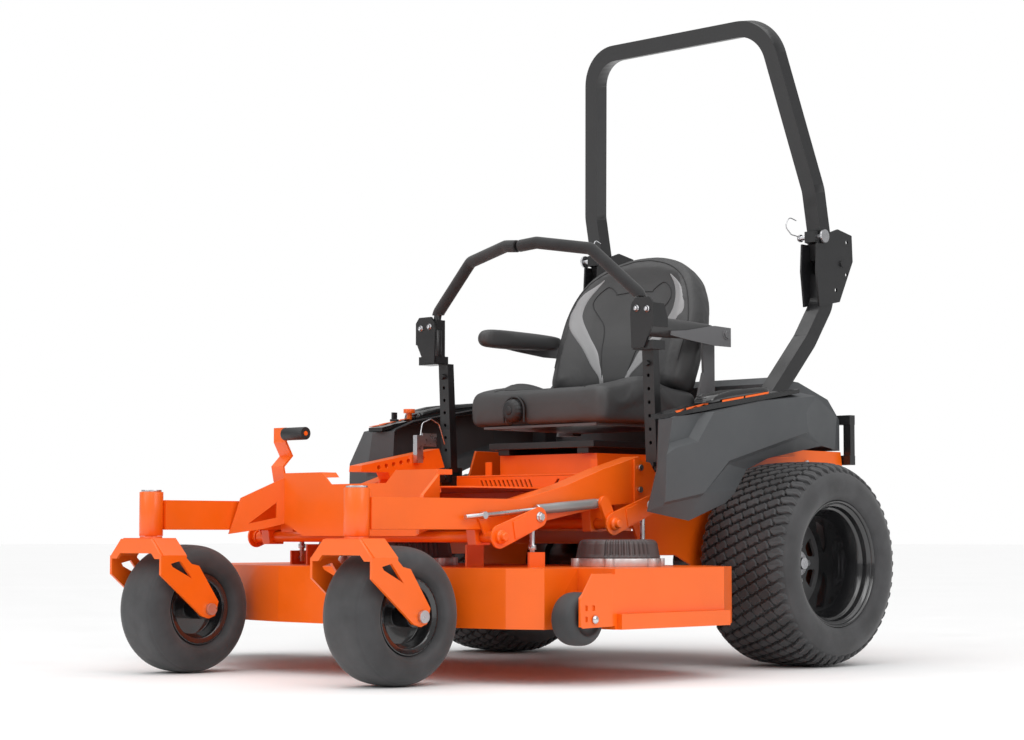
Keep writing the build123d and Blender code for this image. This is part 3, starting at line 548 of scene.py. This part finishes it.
def stuff(piece, voxel, cap):
    """Swell a closed pad as stuffed cloth, by no more than cap."""
    remesh = piece.modifiers.new("remesh", "REMESH")
    remesh.mode = "VOXEL"
    remesh.voxel_size = voxel
    remesh.use_smooth_shade = True
    apply_modifiers(piece)
    before = [v.co.copy() for v in piece.data.vertices]
    cloth = piece.modifiers.new("cloth", "CLOTH")
    cloth.settings.use_pressure = True
    cloth.settings.uniform_pressure_force = SWELL_PRESSURE
    cloth.settings.effector_weights.gravity = 0
    cloth.settings.quality = SWELL_QUALITY
    cloth.point_cache.frame_start = 1
    cloth.point_cache.frame_end = SWELL_FRAMES
    scene = bpy.context.scene
    for number in range(1, SWELL_FRAMES + 1):
        scene.frame_set(number)
    graph = bpy.context.evaluated_depsgraph_get()
    swollen = [v.co.copy() for v in piece.evaluated_get(graph).data.vertices]
    piece.modifiers.clear()
    scene.frame_set(1)
    for vertex, old, new in zip(piece.data.vertices, before, swollen):
        move = new - old
        if move.length > cap:
            move *= cap / move.length
        vertex.co = old + move
    relax = piece.modifiers.new("relax", "SMOOTH")
    relax.factor = 0.5
    relax.iterations = 3
    fine = piece.modifiers.new("fine", "SUBSURF")
    fine.levels = 1
    fine.render_levels = 1
    apply_modifiers(piece)


def surface_finder(piece):
    """Function that drops a row point along a direction onto a piece."""
    tree = BVHTree.FromObject(piece, bpy.context.evaluated_depsgraph_get())

    def drop(point, direction, lift):
        hit, normal, _, _ = tree.ray_cast(point - direction * RAY_START, direction)
        return point if hit is None else hit + normal * lift
    return drop


def tube(name, line, radius):
    """Round tube along row points."""
    curve = bpy.data.curves.new(name, "CURVE")
    curve.dimensions = "3D"
    curve.bevel_depth = radius
    curve.bevel_resolution = 1
    curve.use_fill_caps = True
    spline = curve.splines.new("POLY")
    spline.points.add(len(line) - 1)
    for point, spot in zip(spline.points, line):
        point.co = (*spot, 1)
    holder = bpy.data.objects.new(name, curve)
    bpy.context.scene.collection.objects.link(holder)
    graph = bpy.context.evaluated_depsgraph_get()
    mesh = bpy.data.meshes.new_from_object(holder.evaluated_get(graph))
    made = bpy.data.objects.new(name, mesh)
    bpy.context.scene.collection.objects.link(made)
    bpy.data.objects.remove(holder)
    return made


def lay_strip(name, left, right, drop, direction, to_row):
    """Strip between two lines of points, laid onto a pad, with turned-down edges."""
    left = smooth_line(left, 5)
    right = smooth_line(right, 5)
    points = []
    for a, b in zip(left, right):
        for i in range(STRIP_CELLS + 1):
            spot = a.lerp(b, i / STRIP_CELLS)
            lift = STRIP_LIFT if 0 < i < STRIP_CELLS else STRIP_TUCK
            points.append(drop(to_row(spot.x, spot.y, 0), direction, lift))
    n = STRIP_CELLS + 1
    faces = [(i * n + j, i * n + j + 1, (i + 1) * n + j + 1, (i + 1) * n + j)
             for i in range(len(left) - 1) for j in range(STRIP_CELLS)]
    strip = mesh_object(name, points, faces)
    thick = strip.modifiers.new("thick", "SOLIDIFY")
    thick.thickness = STRIP_THICKNESS
    thick.offset = -1
    return strip


BACK_FOOT = Vector((0, 1226, 788))
BACK_UP = Vector((0, 0.34, 0.94))
BACK_OUT = Vector((0, -0.94, 0.34))
BACK_HALF = [(0, -12), (170, -12), (238, -6), (251, 50), (254, 170), (246, 235), (226, 295),
             (190, 350), (130, 394), (60, 416)]
BACK_SIDE = 250


def back_row(x, h, d):
    """Place on the seat back: across, up its slope and out of its face, to row metres."""
    spot = BACK_FOOT + Vector((x, 0, 0)) + BACK_UP * h + BACK_OUT * d
    return place(*spot)


def back_front(x, h):
    """Depth of the seat back's face: side bolsters, a lumbar swell and a dished top."""
    side = min(1.0, abs(x) / BACK_SIDE)
    bolster = 26 * math.exp(-((side - 0.9) / 0.24) ** 2)
    lumbar = 9 * math.exp(-((h - 110) / 90) ** 2) * (1 - side * side)
    head = 8 * math.exp(-((h - 372) / 34) ** 2)
    return -14 + bolster + lumbar + head


def make_seat_back():
    half = smooth_line(BACK_HALF + [(0, 420)], 4)
    ring = half + mirrored(half[1:-1])
    rings = [(scale, back_front) for scale in (0.12, 0.26, 0.4, 0.54, 0.66, 0.76, 0.84, 0.9)]
    rings += [(scale, lowered(back_front, fall))
              for scale, fall in ((0.94, 2), (0.972, 7), (0.992, 16), (1.004, 30))]
    rings += [(1.0, -66), (0.985, -82), (0.96, -92), (0.9, -98), (0.7, -100), (0.45, -101),
              (0.2, -101)]
    back = closed_form("seat_back_pad", ring, rings, back_row)
    stuff(back, 0.006, 0.005)
    dress(back, "seat", "vinyl", replaces=["seat_back"])
    drop = surface_finder(back)
    inward = -BACK_OUT.normalized()
    outer = [(58, 2), (62, 26), (100, 62), (148, 117), (206, 176), (222, 212), (214, 250),
             (192, 291), (160, 318), (128, 340)]
    inner = [(40, 2), (42, 26), (60, 62), (78, 103), (128, 160), (166, 212), (172, 244),
             (166, 274), (150, 306), (126, 338)]
    for name, sign in SIDES:
        strip = lay_strip(f"back_accent_{name}", [(sign * x, h) for x, h in outer],
                          [(sign * x, h) for x, h in inner], drop, inward, back_row)
        dress(strip, "seat", "vinyl", ACCENT)
    side_seams = ([(46, 24), (66, 100), (84, 185), (150, 262), (112, 316), (76, 300), (70, 290)],
                  [(236, 60), (240, 170), (228, 236), (206, 290), (168, 336), (110, 372),
                   (40, 392), (0, 395)])
    seams = []
    for _, sign in SIDES:
        for line in side_seams:
            path = [drop(back_row(p.x, p.y, 0), inward, 0.0004)
                    for p in smooth_line([(sign * x, h) for x, h in line], 5)]
            seams.append(tube("seam", path, SEAM_RADIUS))
    cross = [drop(back_row(x, 290 + 4 * math.cos(x / 45), 0), inward, 0.0004)
             for x in range(-70, 71, 10)]
    seams.append(tube("seam", cross, SEAM_RADIUS))
    dress(join(seams, "back_seams"), "seat", "vinyl", SEAM_AND_SHADE)


CUSHION_HALF = 262
CUSHION_FRONT = 902
CUSHION_BACK = 1318
CUSHION_CORNER = 30
DIAL_X = -70
DIAL_Z = 700
RECESS_RADIUS = 39


def cushion_top(x, y):
    """Height of the cushion's top: dished middle, thigh bolsters and a rolled front."""
    side = min(1.0, abs(x) / CUSHION_HALF)
    along = (y - CUSHION_FRONT) / (CUSHION_BACK - CUSHION_FRONT)
    bolster = 34 * math.exp(-((side - 0.86) / 0.2) ** 2)
    bolster *= math.exp(-((along - 0.46) / 0.27) ** 2)
    dish = -9 * math.exp(-((along - 0.55) / 0.3) ** 2) * math.exp(-(x / 150) ** 2)
    return 758 + bolster + dish


def cushion_outline():
    """Rectangle with round corners, seen from above."""
    x = CUSHION_HALF - CUSHION_CORNER
    front = CUSHION_FRONT + CUSHION_CORNER
    back = CUSHION_BACK - CUSHION_CORNER
    corners = []
    for cx, cy, start in ((x, front, -90), (x, back, 0), (-x, back, 90), (-x, front, 180)):
        for step in range(9):
            angle = math.radians(start + step * 11.25)
            corners.append((cx + CUSHION_CORNER * math.cos(angle),
                            cy + CUSHION_CORNER * math.sin(angle)))
    outline = []
    for (ax, ay), (bx, by) in zip(corners, corners[1:] + corners[:1]):
        steps = max(1, round(math.hypot(bx - ax, by - ay) / 26))
        outline += [(ax + (bx - ax) * k / steps, ay + (by - ay) * k / steps)
                    for k in range(steps)]
    return outline


def make_cushion():
    rings = [(scale, cushion_top) for scale in (0.15, 0.3, 0.45, 0.6, 0.72, 0.82, 0.9)]
    rings += [(scale, lowered(cushion_top, fall))
              for scale, fall in ((0.945, 3), (0.975, 10), (0.993, 22), (1.0, 36))]
    rings += [(1.0, 700), (0.996, 680), (0.98, 667), (0.95, 663), (0.6, 662.5), (0.25, 662.5)]
    cushion = closed_form("seat_cushion_pad", cushion_outline(), rings, place)
    stuff(cushion, 0.006, 0.004)
    arch = []
    for step in range(17):
        angle = math.pi * step / 16
        arch.append((DIAL_X + RECESS_RADIUS * math.cos(angle),
                     DIAL_Z + RECESS_RADIUS * math.sin(angle)))
    left_x = DIAL_X + RECESS_RADIUS
    right_x = DIAL_X - RECESS_RADIUS
    cut_from(cushion, slab("cutter", arch + [(right_x, 640), (left_x, 640)], front_place,
                           860, 930), smooth=True)
    dress(cushion, "seat", "vinyl", replaces=["seat_cushion"])
    # Dark tube along the recess's upper rim: painted shade of the recess, in the dark seam vinyl
    rim = [place(x, 897.5, z) for x, z in [(left_x, 668)] + arch + [(right_x, 668)]]
    dress(tube("recess_shadow_ring", rim, SHADOW_RING_RADIUS), "seat", "vinyl", SEAM_AND_SHADE)
    drop = surface_finder(cushion)
    down = Vector((0, 0, -1))
    line = [(172, 925), (168, 1000), (160, 1100), (158, 1190), (166, 1262)]
    seams = []
    for _, sign in SIDES:
        path = [drop(place(p.x, p.y, 900), down, 0.0002)
                for p in smooth_line([(sign * x, y) for x, y in line], 5)]
        seams.append(tube("seam", path, SEAM_RADIUS))
    across = [drop(place(x, 950 + 12 * (x / 170) ** 2, 900), down, 0.0002)
              for x in range(-170, 171, 17)]
    seams.append(tube("seam", across, SEAM_RADIUS))
    dress(join(seams, "cushion_seams"), "seat", "vinyl", SEAM_AND_SHADE)


ARM_HINGE = (1350, 918)


def make_armrest(name, sign):
    to_row = side_place(sign)
    outline = [(996, 906), (988, 922), (996, 940), (1024, 950), (1120, 949), (1240, 947),
               (1316, 943), (1328, 930), (1324, 914), (1300, 905), (1200, 902), (1090, 899),
               (1020, 899)]
    rings = [(0.3, 320.5), (0.6, 320), (0.82, 318), (0.92, 314), (0.985, 306), (1.0, 295),
             (0.985, 284), (0.92, 276), (0.82, 272), (0.6, 270), (0.3, 269.5)]
    pad = closed_form(f"armrest_pad_{name}", smooth_line(outline, 4, closed=True), rings, to_row)
    stuff(pad, 0.0045, 0.0025)
    dress(pad, f"arm_{name}", "vinyl", replaces=[f"armrest_{name}"])
    side = [(1110, 902), (1180, 894), (1290, 884), (1372, 884), (1372, 938), (1300, 940),
            (1180, 920), (1110, 914)]
    plate = slab("plate", side, to_row, 321, 326)
    head = bolt(place(sign * 326, *ARM_HINGE), (sign, 0, 0), 12, 7)
    bracket = join([plate, head], f"armrest_bracket_{name}")
    dress(bracket, f"arm_{name}", "grey_paint")
    round_edges(bracket, 0.0008)


# ---- Plates and bolts -------------------------------------------------------------------------
def slab(name, outline, to_row, low, high):
    """Plate between two levels of an outline."""
    n = len(outline)
    points = [to_row(u, v, w) for w in (low, high) for u, v in outline]
    faces = [tuple(range(n)), tuple(range(2 * n - 1, n - 1, -1))]
    return mesh_object(name, points, faces + ring_faces(2, n), False)


def revolve(name, profile, base, axis, turns=28):
    """(radius, height) profile in mm turned about an axis that starts at a row point."""
    axis = Vector(axis).normalized()
    side = axis.orthogonal().normalized()
    other = axis.cross(side)
    points = []
    for r, h in profile:
        for i in range(turns):
            angle = 2 * math.pi * i / turns
            reach = side * math.cos(angle) + other * math.sin(angle)
            points.append(base + reach * (r / 1000) + axis * (h / 1000))
    return mesh_object(name, points, capped_faces(len(profile), turns))


def bolt(base, axis, radius, height):
    """Flanged hexagon bolt head."""
    flange = revolve("flange", [(radius * 1.25, 0), (radius * 1.25, height * 0.2),
                                (radius * 1.05, height * 0.34)], base, axis, 24)
    start = Vector(base) + Vector(axis).normalized() * (height * 0.3 / 1000)
    head = revolve("head", [(radius, 0), (radius, height * 0.55), (radius * 0.86, height * 0.7),
                            (radius * 0.4, height * 0.7)], start, axis, 6)
    head.data.polygons.foreach_set("use_smooth", [False] * len(head.data.polygons))
    return join([flange, head], "bolt")


def dome_bolt(base, axis, radius, height):
    """Carriage bolt with a domed head."""
    profile = [(radius, 0), (radius * 0.98, height * 0.25), (radius * 0.85, height * 0.6),
               (radius * 0.6, height * 0.86), (radius * 0.3, height * 0.97), (0.4, height)]
    return revolve("dome_bolt", profile, base, axis, 28)


# ---- Fenders and console trays ----------------------------------------------------------------
FENDER = {
    "a0": (556, 738, 414), "a1": (553, 783, 525), "a2": (545, 799, 651),
    "i0": (503, 800, 418), "i1": (503, 838, 525), "i2": (503, 846, 655),
    "b0": (600, 758, 438), "b1": (603, 762, 560), "b2": (588, 804, 655),
    "c0": (578, 877, 391), "d0": (603, 911, 463), "e0": (584, 1066, 473),
    "f0": (572, 1035, 438), "g0": (603, 1015, 549), "h0": (603, 1360, 636),
    "j0": (566, 1135, 529), "k0": (566, 1228, 561), "l0": (580, 1450, 600),
    "d1": (590, 925, 464), "g1": (590, 1027, 540), "h1": (590, 1366, 625),
    "b3": (590, 762, 430), "d2": (590, 914, 454), "e1": (582, 1062, 464),
    "m0": (603, 1352, 690), "n0": (603, 799, 577), "n1": (603, 887, 595),
    "n2": (603, 954, 675), "n3": (603, 1165, 711), "n4": (603, 1396, 735),
    "p0": (586, 786, 588), "p1": (584, 872, 607), "p2": (583, 928, 673),
    "q0": (586, 1514, 684), "q1": (580, 1512, 592), "r0": (522, 1560, 690),
    "r1": (522, 1560, 602), "s0": (456, 1560, 690), "s1": (456, 1560, 602),
    "t0": (508, 858, 664), "t1": (508, 930, 690), "t2": (508, 1165, 730),
    "t3": (508, 1392, 757), "t4": (504, 1510, 712),
}
FENDER_FACES = [
    "a0 b3 b0 b1 a1", "a1 b1 b2 a2", "a0 c0 d2 b3", "c0 f0 e1 d2", "b3 d2 d0 b0",
    "d2 e1 e0 d1 d0", "b0 d0 g0 h0 m0 n4 n3 n2 n1 n0 b1", "d0 d1 g1 g0", "g0 g1 h1 h0",
    "d1 e0 j0 g1", "g1 j0 k0", "g1 k0 l0 h1", "h0 h1 l0 m0", "n4 m0 l0", "n4 l0 q1 q0",
    "q0 q1 r1 r0", "r0 r1 s1 s0", "b1 n0 p0", "n0 n1 p1 p0", "n1 n2 p2 p1",
    "b1 p0 p1 p2 b2", "i0 a0 a1 i1", "i1 a1 a2 i2", "i2 a2 b2 t0", "b2 p2 t1 t0",
    "p2 n2 t1", "n2 n3 t2 t1", "n3 n4 t3 t2", "n4 q0 t4 t3", "q0 r0 s0 t4",
]
OUTER_FACE = 6
FENDER_SKIN = 0.004
FENDER_CREASE = math.radians(7)


def make_fender(name, sign):
    names = list(FENDER)
    points = [place(sign * x, y, z) for x, y, z in FENDER.values()]
    faces = [tuple(names.index(key) for key in row.split()) for row in FENDER_FACES]
    skin = mesh_object(f"fender_shell_{name}", points, faces, False)
    if skin.data.polygons[OUTER_FACE].normal.x * sign < 0:
        skin.data.flip_normals()
    thick = skin.modifiers.new("thick", "SOLIDIFY")
    thick.thickness = FENDER_SKIN
    thick.offset = -1
    soft = skin.modifiers.new("soft", "BEVEL")
    soft.width = 0.0022
    soft.segments = 2
    soft.limit_method = "ANGLE"
    soft.angle_limit = FENDER_CREASE
    soft.harden_normals = True
    skin.data.polygons.foreach_set("use_smooth", [True] * len(skin.data.polygons))
    dress(skin, "chassis", "dark_plastic", replaces=[f"fender_{name}"])


def make_lamp(name, sign):
    """Marker lens on the fender's rear corner, in a low frame."""
    q0, r0, r1, q1 = (Vector(FENDER[key]) for key in ("q0", "r0", "r1", "q1"))
    out = (r0 - q0).cross(q1 - q0).normalized()
    if out.x < 0:
        out.negate()

    def spot(u, v, lift):
        at = q0.lerp(r0, u).lerp(q1.lerp(r1, u), v) + out * lift
        return place(sign * at.x, at.y, at.z)

    frame_edge = [(0.22, 0.1), (0.74, 0.1), (0.8, 0.2), (0.8, 0.72), (0.66, 0.86), (0.22, 0.86)]
    lens_edge = [(0.28, 0.17), (0.7, 0.17), (0.73, 0.24), (0.73, 0.68), (0.62, 0.79),
                 (0.28, 0.79)]
    bezel = slab(f"lamp_frame_{name}", frame_edge, spot, -1, 3)
    dress(bezel, "chassis", "black_plastic")
    round_edges(bezel, 0.0008)
    lens = slab(f"lamp_lens_{name}", lens_edge, spot, 1, 5)
    dress(lens, "chassis", "black_plastic", LENS)
    round_edges(lens, 0.0015, 3)


TRAY_LINE = [(806, 662), (880, 678), (954, 693), (1060, 709), (1165, 726), (1280, 742),
             (1336, 749)]
BEZEL_MIDDLE = (553, 1088)
BEZEL_CREST_Y = 1060
BEZEL_LEVELS = ((1.05, 0), (1.02, 12), (0.96, 19), (0.88, 19), (0.82, 12), (0.78, 3))


def tray_level(y):
    """Height of the console tray's top."""
    for (ya, za), (yb, zb) in zip(TRAY_LINE, TRAY_LINE[1:]):
        if y <= yb:
            return za + (zb - za) * (y - ya) / (yb - ya)
    return TRAY_LINE[-1][1]


def tray_slab(name, sign, outline, low, high):
    """Plate that follows the tray's top between two heights above it."""
    def to_row(x, y, h):
        return place(sign * x, y, tray_level(y) + h)
    return slab(name, outline, to_row, low, high)


def make_console(name, sign):
    stations = [y for y, _ in TRAY_LINE]
    edge = [(592 if y >= 830 else 570, y) for y in stations]
    edge += [(512, y) for y in reversed(stations)]
    top = tray_slab("top", sign, edge, -8, 3)
    rim = smooth_line([(520, 990), (545, 962), (582, 966), (588, 1010), (588, 1180),
                       (574, 1212), (528, 1212), (518, 1180)], 4, closed=True)
    mx, my = BEZEL_MIDDLE
    points = []
    for scale, rise in BEZEL_LEVELS:
        for x, y in rim:
            px = mx + (x - mx) * scale
            py = my + (y - my) * scale
            crest = 1 + 0.5 * max(0, 1 - abs(py - BEZEL_CREST_Y) / 140)
            points.append(place(sign * px, py, tray_level(py) + 1 + rise * crest))
    bezel = mesh_object("bezel", points, capped_faces(len(BEZEL_LEVELS), len(rim)))
    tray = join([top, bezel], f"console_top_{name}")
    dress(tray, "chassis", "black_plastic", GLOSS,
          replaces=["console_trays"] if sign > 0 else [])
    slashes = []
    for start, length, shift in ((822, 44, 10), (862, 52, 14), (906, 40, 12), (944, 18, 6)):
        outline = [(586, start), (586, start + length * 0.36), (566, start + length + shift),
                   (562, start + length), (562, start + length * 0.5)]
        slashes.append(tray_slab("slash", sign, outline, 3.0, 4.4))
    for y0, y1 in ((1000, 1090), (1098, 1196)):
        outline = [(592.5, y0), (592.5, y1), (588.8, y1 + 8), (588.8, y0 + 8)]
        slashes.append(tray_slab("slash", sign, outline, 3.0, 8.0))
    outline = [(536, 1120), (536, 1150), (560, 1172), (560, 1140)]
    slashes.append(tray_slab("slash", sign, outline, 3.2, 6.4))
    dress(join(slashes, f"console_slashes_{name}"), "chassis", "orange_paint")


# ---- Deck ------------------------------------------------------------------------------------
SPINDLES = ((500, 690), (0, 440), (-500, 690))
COVER_FOOT = 296
COVER_TURNS = 360
COVER_SECTOR = 120
LIFT_PINS = {"front": (297, 350), "rear": (716, 383)}
LIFT_ARM = (142, 49)
LIFT_CRANK = (-26, 53)
ROD_X = 434.5
SLEEVE_START = 190
SLEEVE_END_GAP = 16


def cover_radius(radius, ribbed, angle):
    """Radius of a spindle cover, with its grip ribs and flats, at an angle round it."""
    sector = (math.degrees(angle) + 8) % COVER_SECTOR
    wave = 0.5 + 0.5 * math.cos(math.radians(sector) * 45)
    groove = 5.5 * ribbed * min(1, max(0, (wave - 0.35) * 3)) * (30 < sector < 102)
    flat = 3.5 * max(0, 1 - abs(sector - 12) / 14) * ribbed
    return radius - groove - flat


def make_spindle_covers():
    # height, radius and how deep the ribs are there
    profile = [(0, 106, 0), (3, 107.5, 0), (10, 106, 1), (36, 101, 1), (42, 98, 1), (46, 92, 0.8),
               (47.5, 84, 0.5), (47.5, 62, 0.0), (46, 58, 0.0), (46, 20, 0.0)]
    covers = []
    for cx, cy in SPINDLES:
        points = []
        for rise, radius, ribbed in profile:
            for i in range(COVER_TURNS):
                angle = 2 * math.pi * i / COVER_TURNS
                r = cover_radius(radius, ribbed, angle)
                points.append(place(cx + r * math.sin(angle), cy - r * math.cos(angle),
                                    COVER_FOOT + rise))
        covers.append(mesh_object("cover", points, capped_faces(len(profile), COVER_TURNS),
                                  False))
    dress(join(covers, "ribbed_spindle_covers"), "deck", "cover_plastic",
          replaces=["spindle_covers"])


def arm_outline(start, end, r0, r1, steps=12):
    """Bar with round ends of radius r0 and r1 in the (y, z) plane."""
    way = Vector((end[0] - start[0], end[1] - start[1]))
    aim = math.atan2(way.y, way.x)
    outline = []
    for (cy, cz), r, first in ((end, r1, -90), (start, r0, 90)):
        for k in range(steps + 1):
            angle = aim + math.radians(first + 180 * k / steps)
            outline.append((cy + r * math.cos(angle), cz + r * math.sin(angle)))
    return outline


def make_lift_covers(name, sign):
    side_row = side_place(sign)
    axis = (sign, 0, 0)
    for label, start in LIFT_PINS.items():
        end = (start[0] + LIFT_ARM[0], start[1] + LIFT_ARM[1])
        plate = slab("plate", arm_outline(start, end, 29, 25), side_row, 458.2, 464)
        waist = [(start[0] + 52, start[1] - 6), (start[0] + 96, start[1] + 9),
                 (start[0] + 88, start[1] + 52), (start[0] + 44, start[1] + 38)]
        rib = slab("rib", waist, side_row, 463, 467)
        boss = revolve("boss", [(17, 0), (17, 9), (13, 12), (11, 12), (11, 22), (9, 24),
                                (1, 24.5)], place(sign * 462, *start), axis, 36)
        cover = join([plate, rib, boss], f"lift_arm_{label}_{name}")
        dress(cover, f"{label}_lift", "orange_paint")
        round_edges(cover, 0.0015)
        head = bolt(place(sign * 464, *end), axis, 10.5, 9)
        head.name = f"lift_bolt_{label}_{name}"
        dress(head, f"{label}_lift", "zinc")


def make_lever_bolts(name, sign):
    heads = [dome_bolt(place(sign * x, 884, z), (0, -1, 0), 9.5, 7)
             for x, z in ((396.7, 955.6), (433, 952))]
    dress(join(heads, f"lever_bolts_{name}"), f"steering_{name}", "zinc")


# ---- Rims -------------------------------------------------------------------------------------
def cut_from(piece, cutter, smooth=False):
    """Cut one closed form from another and drop the cutter."""
    cut = piece.modifiers.new("cut", "BOOLEAN")
    cut.operation = "DIFFERENCE"
    cut.solver = "EXACT"
    cut.object = cutter
    apply_modifiers(piece)
    piece.data.polygons.foreach_set("use_smooth", [smooth] * len(piece.data.polygons))
    bpy.data.objects.remove(cutter)


DISC_TURNS = 96
DISC_RADIUS = 134.3
DISC_BORE = 60
DISC_WINDOWS = 8
WHEEL_BOLTS = 5
BOLT_CIRCLE = 47


def round_wheel(radius, angle):
    """(y, z) of a spot round the rear wheel's axle."""
    return REAR_Y + radius * math.sin(angle), REAR_Z + radius * math.cos(angle)


def make_rim_barrel(name, sign):
    seat = [(126.3, 160.2), (100, 152.2), (60, 140.2)]
    lip = [(134.5, 169), (132.5, 172), (128.5, 172.3), (126.6, 170)]
    face = [(134, 166.5), (130, 164), (128, 162.8), (123, 162), (120.5, 160.5), (119.5, 156),
            (117, 154.4), (105, 153), (102.5, 151.5), (101.5, 147), (99, 145.4), (70, 137.4),
            (58, 134.2)]
    outer = lip + seat
    outline = outer + mirrored(outer) + [(-u, r) for u, r in face] + face[::-1]
    barrel = lathe(f"rim_barrel_{name}", [(sign * u, r) for u, r in outline],
                   (sign * REAR_X, REAR_Y, REAR_Z), 144)
    dress(barrel, f"drive_wheel_{name}", "gloss_rim", replaces=[f"rear_rim_{name}"])


def make_rim_disc(name, sign):
    points = []
    for u, r in ((-38, DISC_RADIUS), (-30, DISC_RADIUS), (-30, DISC_BORE), (-38, DISC_BORE)):
        for i in range(DISC_TURNS):
            y, z = round_wheel(r, 2 * math.pi * i / DISC_TURNS)
            points.append(place(sign * (REAR_X + u), y, z))
    disc = mesh_object(f"rim_disc_{name}", points, ring_faces(4, DISC_TURNS, wrap=True), False)
    windows = []
    for k in range(DISC_WINDOWS):
        middle = 2 * math.pi * (k + 0.5) / DISC_WINDOWS
        corners = [(r, middle - half)
                   for r, half in ((84, 0.13), (90, 0.19), (112, 0.235), (118, 0.2))]
        corners += [(r, 2 * middle - angle) for r, angle in reversed(corners)]
        windows.append(slab("window", [round_wheel(r, angle) for r, angle in corners],
                            side_place(sign), REAR_X - 50, REAR_X - 20))
    cut_from(disc, join(windows, "windows"))
    dress(disc, f"drive_wheel_{name}", "gloss_rim", DISC_GREY)
    round_edges(disc, 0.001)


def make_hub_cap(name, sign):
    out = (sign, 0, 0)
    cap = [(30, 0), (30, 4), (26, 6), (14, 7), (14, 22), (12, 25), (1, 25)]
    hub = [revolve("cap", cap, place(sign * (REAR_X - 12), REAR_Y, REAR_Z), out, 40)]
    for k in range(WHEEL_BOLTS):
        y, z = round_wheel(BOLT_CIRCLE, 2 * math.pi * k / WHEEL_BOLTS)
        hub.append(bolt(place(sign * (REAR_X - 28), y, z), out, 9, 13))
    dress(join(hub, f"hub_cap_{name}"), f"drive_wheel_{name}", "zinc")


def make_rear_rim(name, sign):
    make_rim_barrel(name, sign)
    make_rim_disc(name, sign)
    make_hub_cap(name, sign)


# ---- Lift tube, deck bracket, dial and louvres ------------------------------------------------
def make_lift_tube(name, sign):
    """Grey sleeve on the rear part of a link rod."""
    front, rear = (Vector((sign * ROD_X, y + LIFT_CRANK[0], z + LIFT_CRANK[1]))
                   for y, z in LIFT_PINS.values())
    way = (rear - front).normalized()
    start = place(*(front + way * SLEEVE_START))
    reach = (rear - front).length - SLEEVE_START - SLEEVE_END_GAP
    profile = [(12.2, 0), (12.6, 1), (12.8, 3), (12.8, reach * 0.3), (13.2, reach * 0.3 + 2),
               (13.2, reach * 0.62), (12.8, reach * 0.62 + 2), (12.8, reach - 4),
               (12.6, reach - 1), (12.2, reach)]
    dress(revolve(f"lift_tube_{name}", profile, start, way, 40), "link_rods", "grey_paint",
          TUBE_GREY)


def make_roller_bracket(name, sign):
    side_row = side_place(sign)
    outline = [(261, 141), (257, 205), (300, 264), (371, 264), (371, 139), (268, 137)]
    plate = slab(f"roller_bracket_{name}", outline, side_row, 760.3, 764)
    holes = []
    for y, z in ((279, 184), (304, 184), (279, 158)):
        holes.append(slab("hole", [(y - 5, z - 6), (y + 5, z - 6), (y + 5, z + 6), (y - 5, z + 6)],
                          side_row, 750, 770))
    cut_from(plate, join(holes, "holes"))
    dress(plate, "deck", "orange_paint")
    round_edges(plate, 0.0008)
    head = dome_bolt(place(sign * 766.2, *ROLLER_SPOT), (sign, 0, 0), 10, 7)
    head.name = f"roller_bolt_{name}"
    dress(head, f"scalp_wheel_{name}", "zinc")


def make_seat_dial():
    profile = [(33, 0), (33.5, 6), (33, 14), (30, 22), (24, 27), (14, 28.5)]
    base = place(DIAL_X, 905, DIAL_Z)
    turns = 96
    points = []
    for r, h in profile:
        for i in range(turns):
            angle = 2 * math.pi * i / turns
            knurl = 1.1 * max(0, math.cos(angle * 16)) if 3 < h < 23 else 0
            points.append(base + Vector(((r - knurl) * math.cos(angle), -h,
                                         (r - knurl) * math.sin(angle))) / 1000)
    body = mesh_object("dial", points, capped_faces(len(profile), turns))
    centre = revolve("centre", [(12, 0), (12, 2), (10.5, 3.2), (1, 3.4)],
                     base + Vector((0, -0.0278, 0)), (0, -1, 0), 40)
    dress(join([body, centre], "seat_dial_knob"), "seat_dial", "black_plastic",
          replaces=["seat_knob"])


LOUVRE_FOOT = 464
LOUVRE_HEAD = 508
LOUVRE_DEPTH = (880, 899.2)


def make_louvres():
    panel = slab("louvre_panel", [(-205, 458), (214, 458), (214, 516), (-205, 516)],
                 front_place, 893, 898.8)
    outlines = []
    for count in range(13):
        x = -192 + count * 17
        outlines.append([(x, LOUVRE_FOOT), (x + 7, LOUVRE_FOOT), (x - 16, LOUVRE_HEAD),
                         (x - 23, LOUVRE_HEAD)])
    for x, low in ((66, LOUVRE_FOOT), (106, 478), (140, 492)):
        lean = (LOUVRE_HEAD - low) * 0.75
        outlines.append([(x, low), (x + 10, low), (x + 10 + lean, LOUVRE_HEAD),
                         (x + lean, LOUVRE_HEAD)])
    slots = [slab("slot", outline, front_place, *LOUVRE_DEPTH) for outline in outlines]
    cut_from(panel, join(slots, "slots"))
    dress(panel, "chassis", "orange_paint")
    # Thin black sheet just behind the slots: painted shade seen through the louvres
    dark = slab("louvre_slot_shade", [(-200, 461), (210, 461), (210, 512), (-200, 512)],
                front_place, 899, 899.7)
    dress(dark, "chassis", "black_plastic")


make_camera()
make_studio()
dress_frame()
SIDE_BUILDERS = (make_rear_tyre, make_caster_tyre, make_anti_scalp_roller, make_armrest,
                 make_fender, make_lamp, make_console, make_lift_covers, make_lever_bolts,
                 make_rear_rim, make_lift_tube, make_roller_bracket)
for side_name, side_sign in SIDES:
    for build in SIDE_BUILDERS:
        build(side_name, side_sign)
make_seat_back()
make_cushion()
make_seat_dial()
make_spindle_covers()
make_louvres()
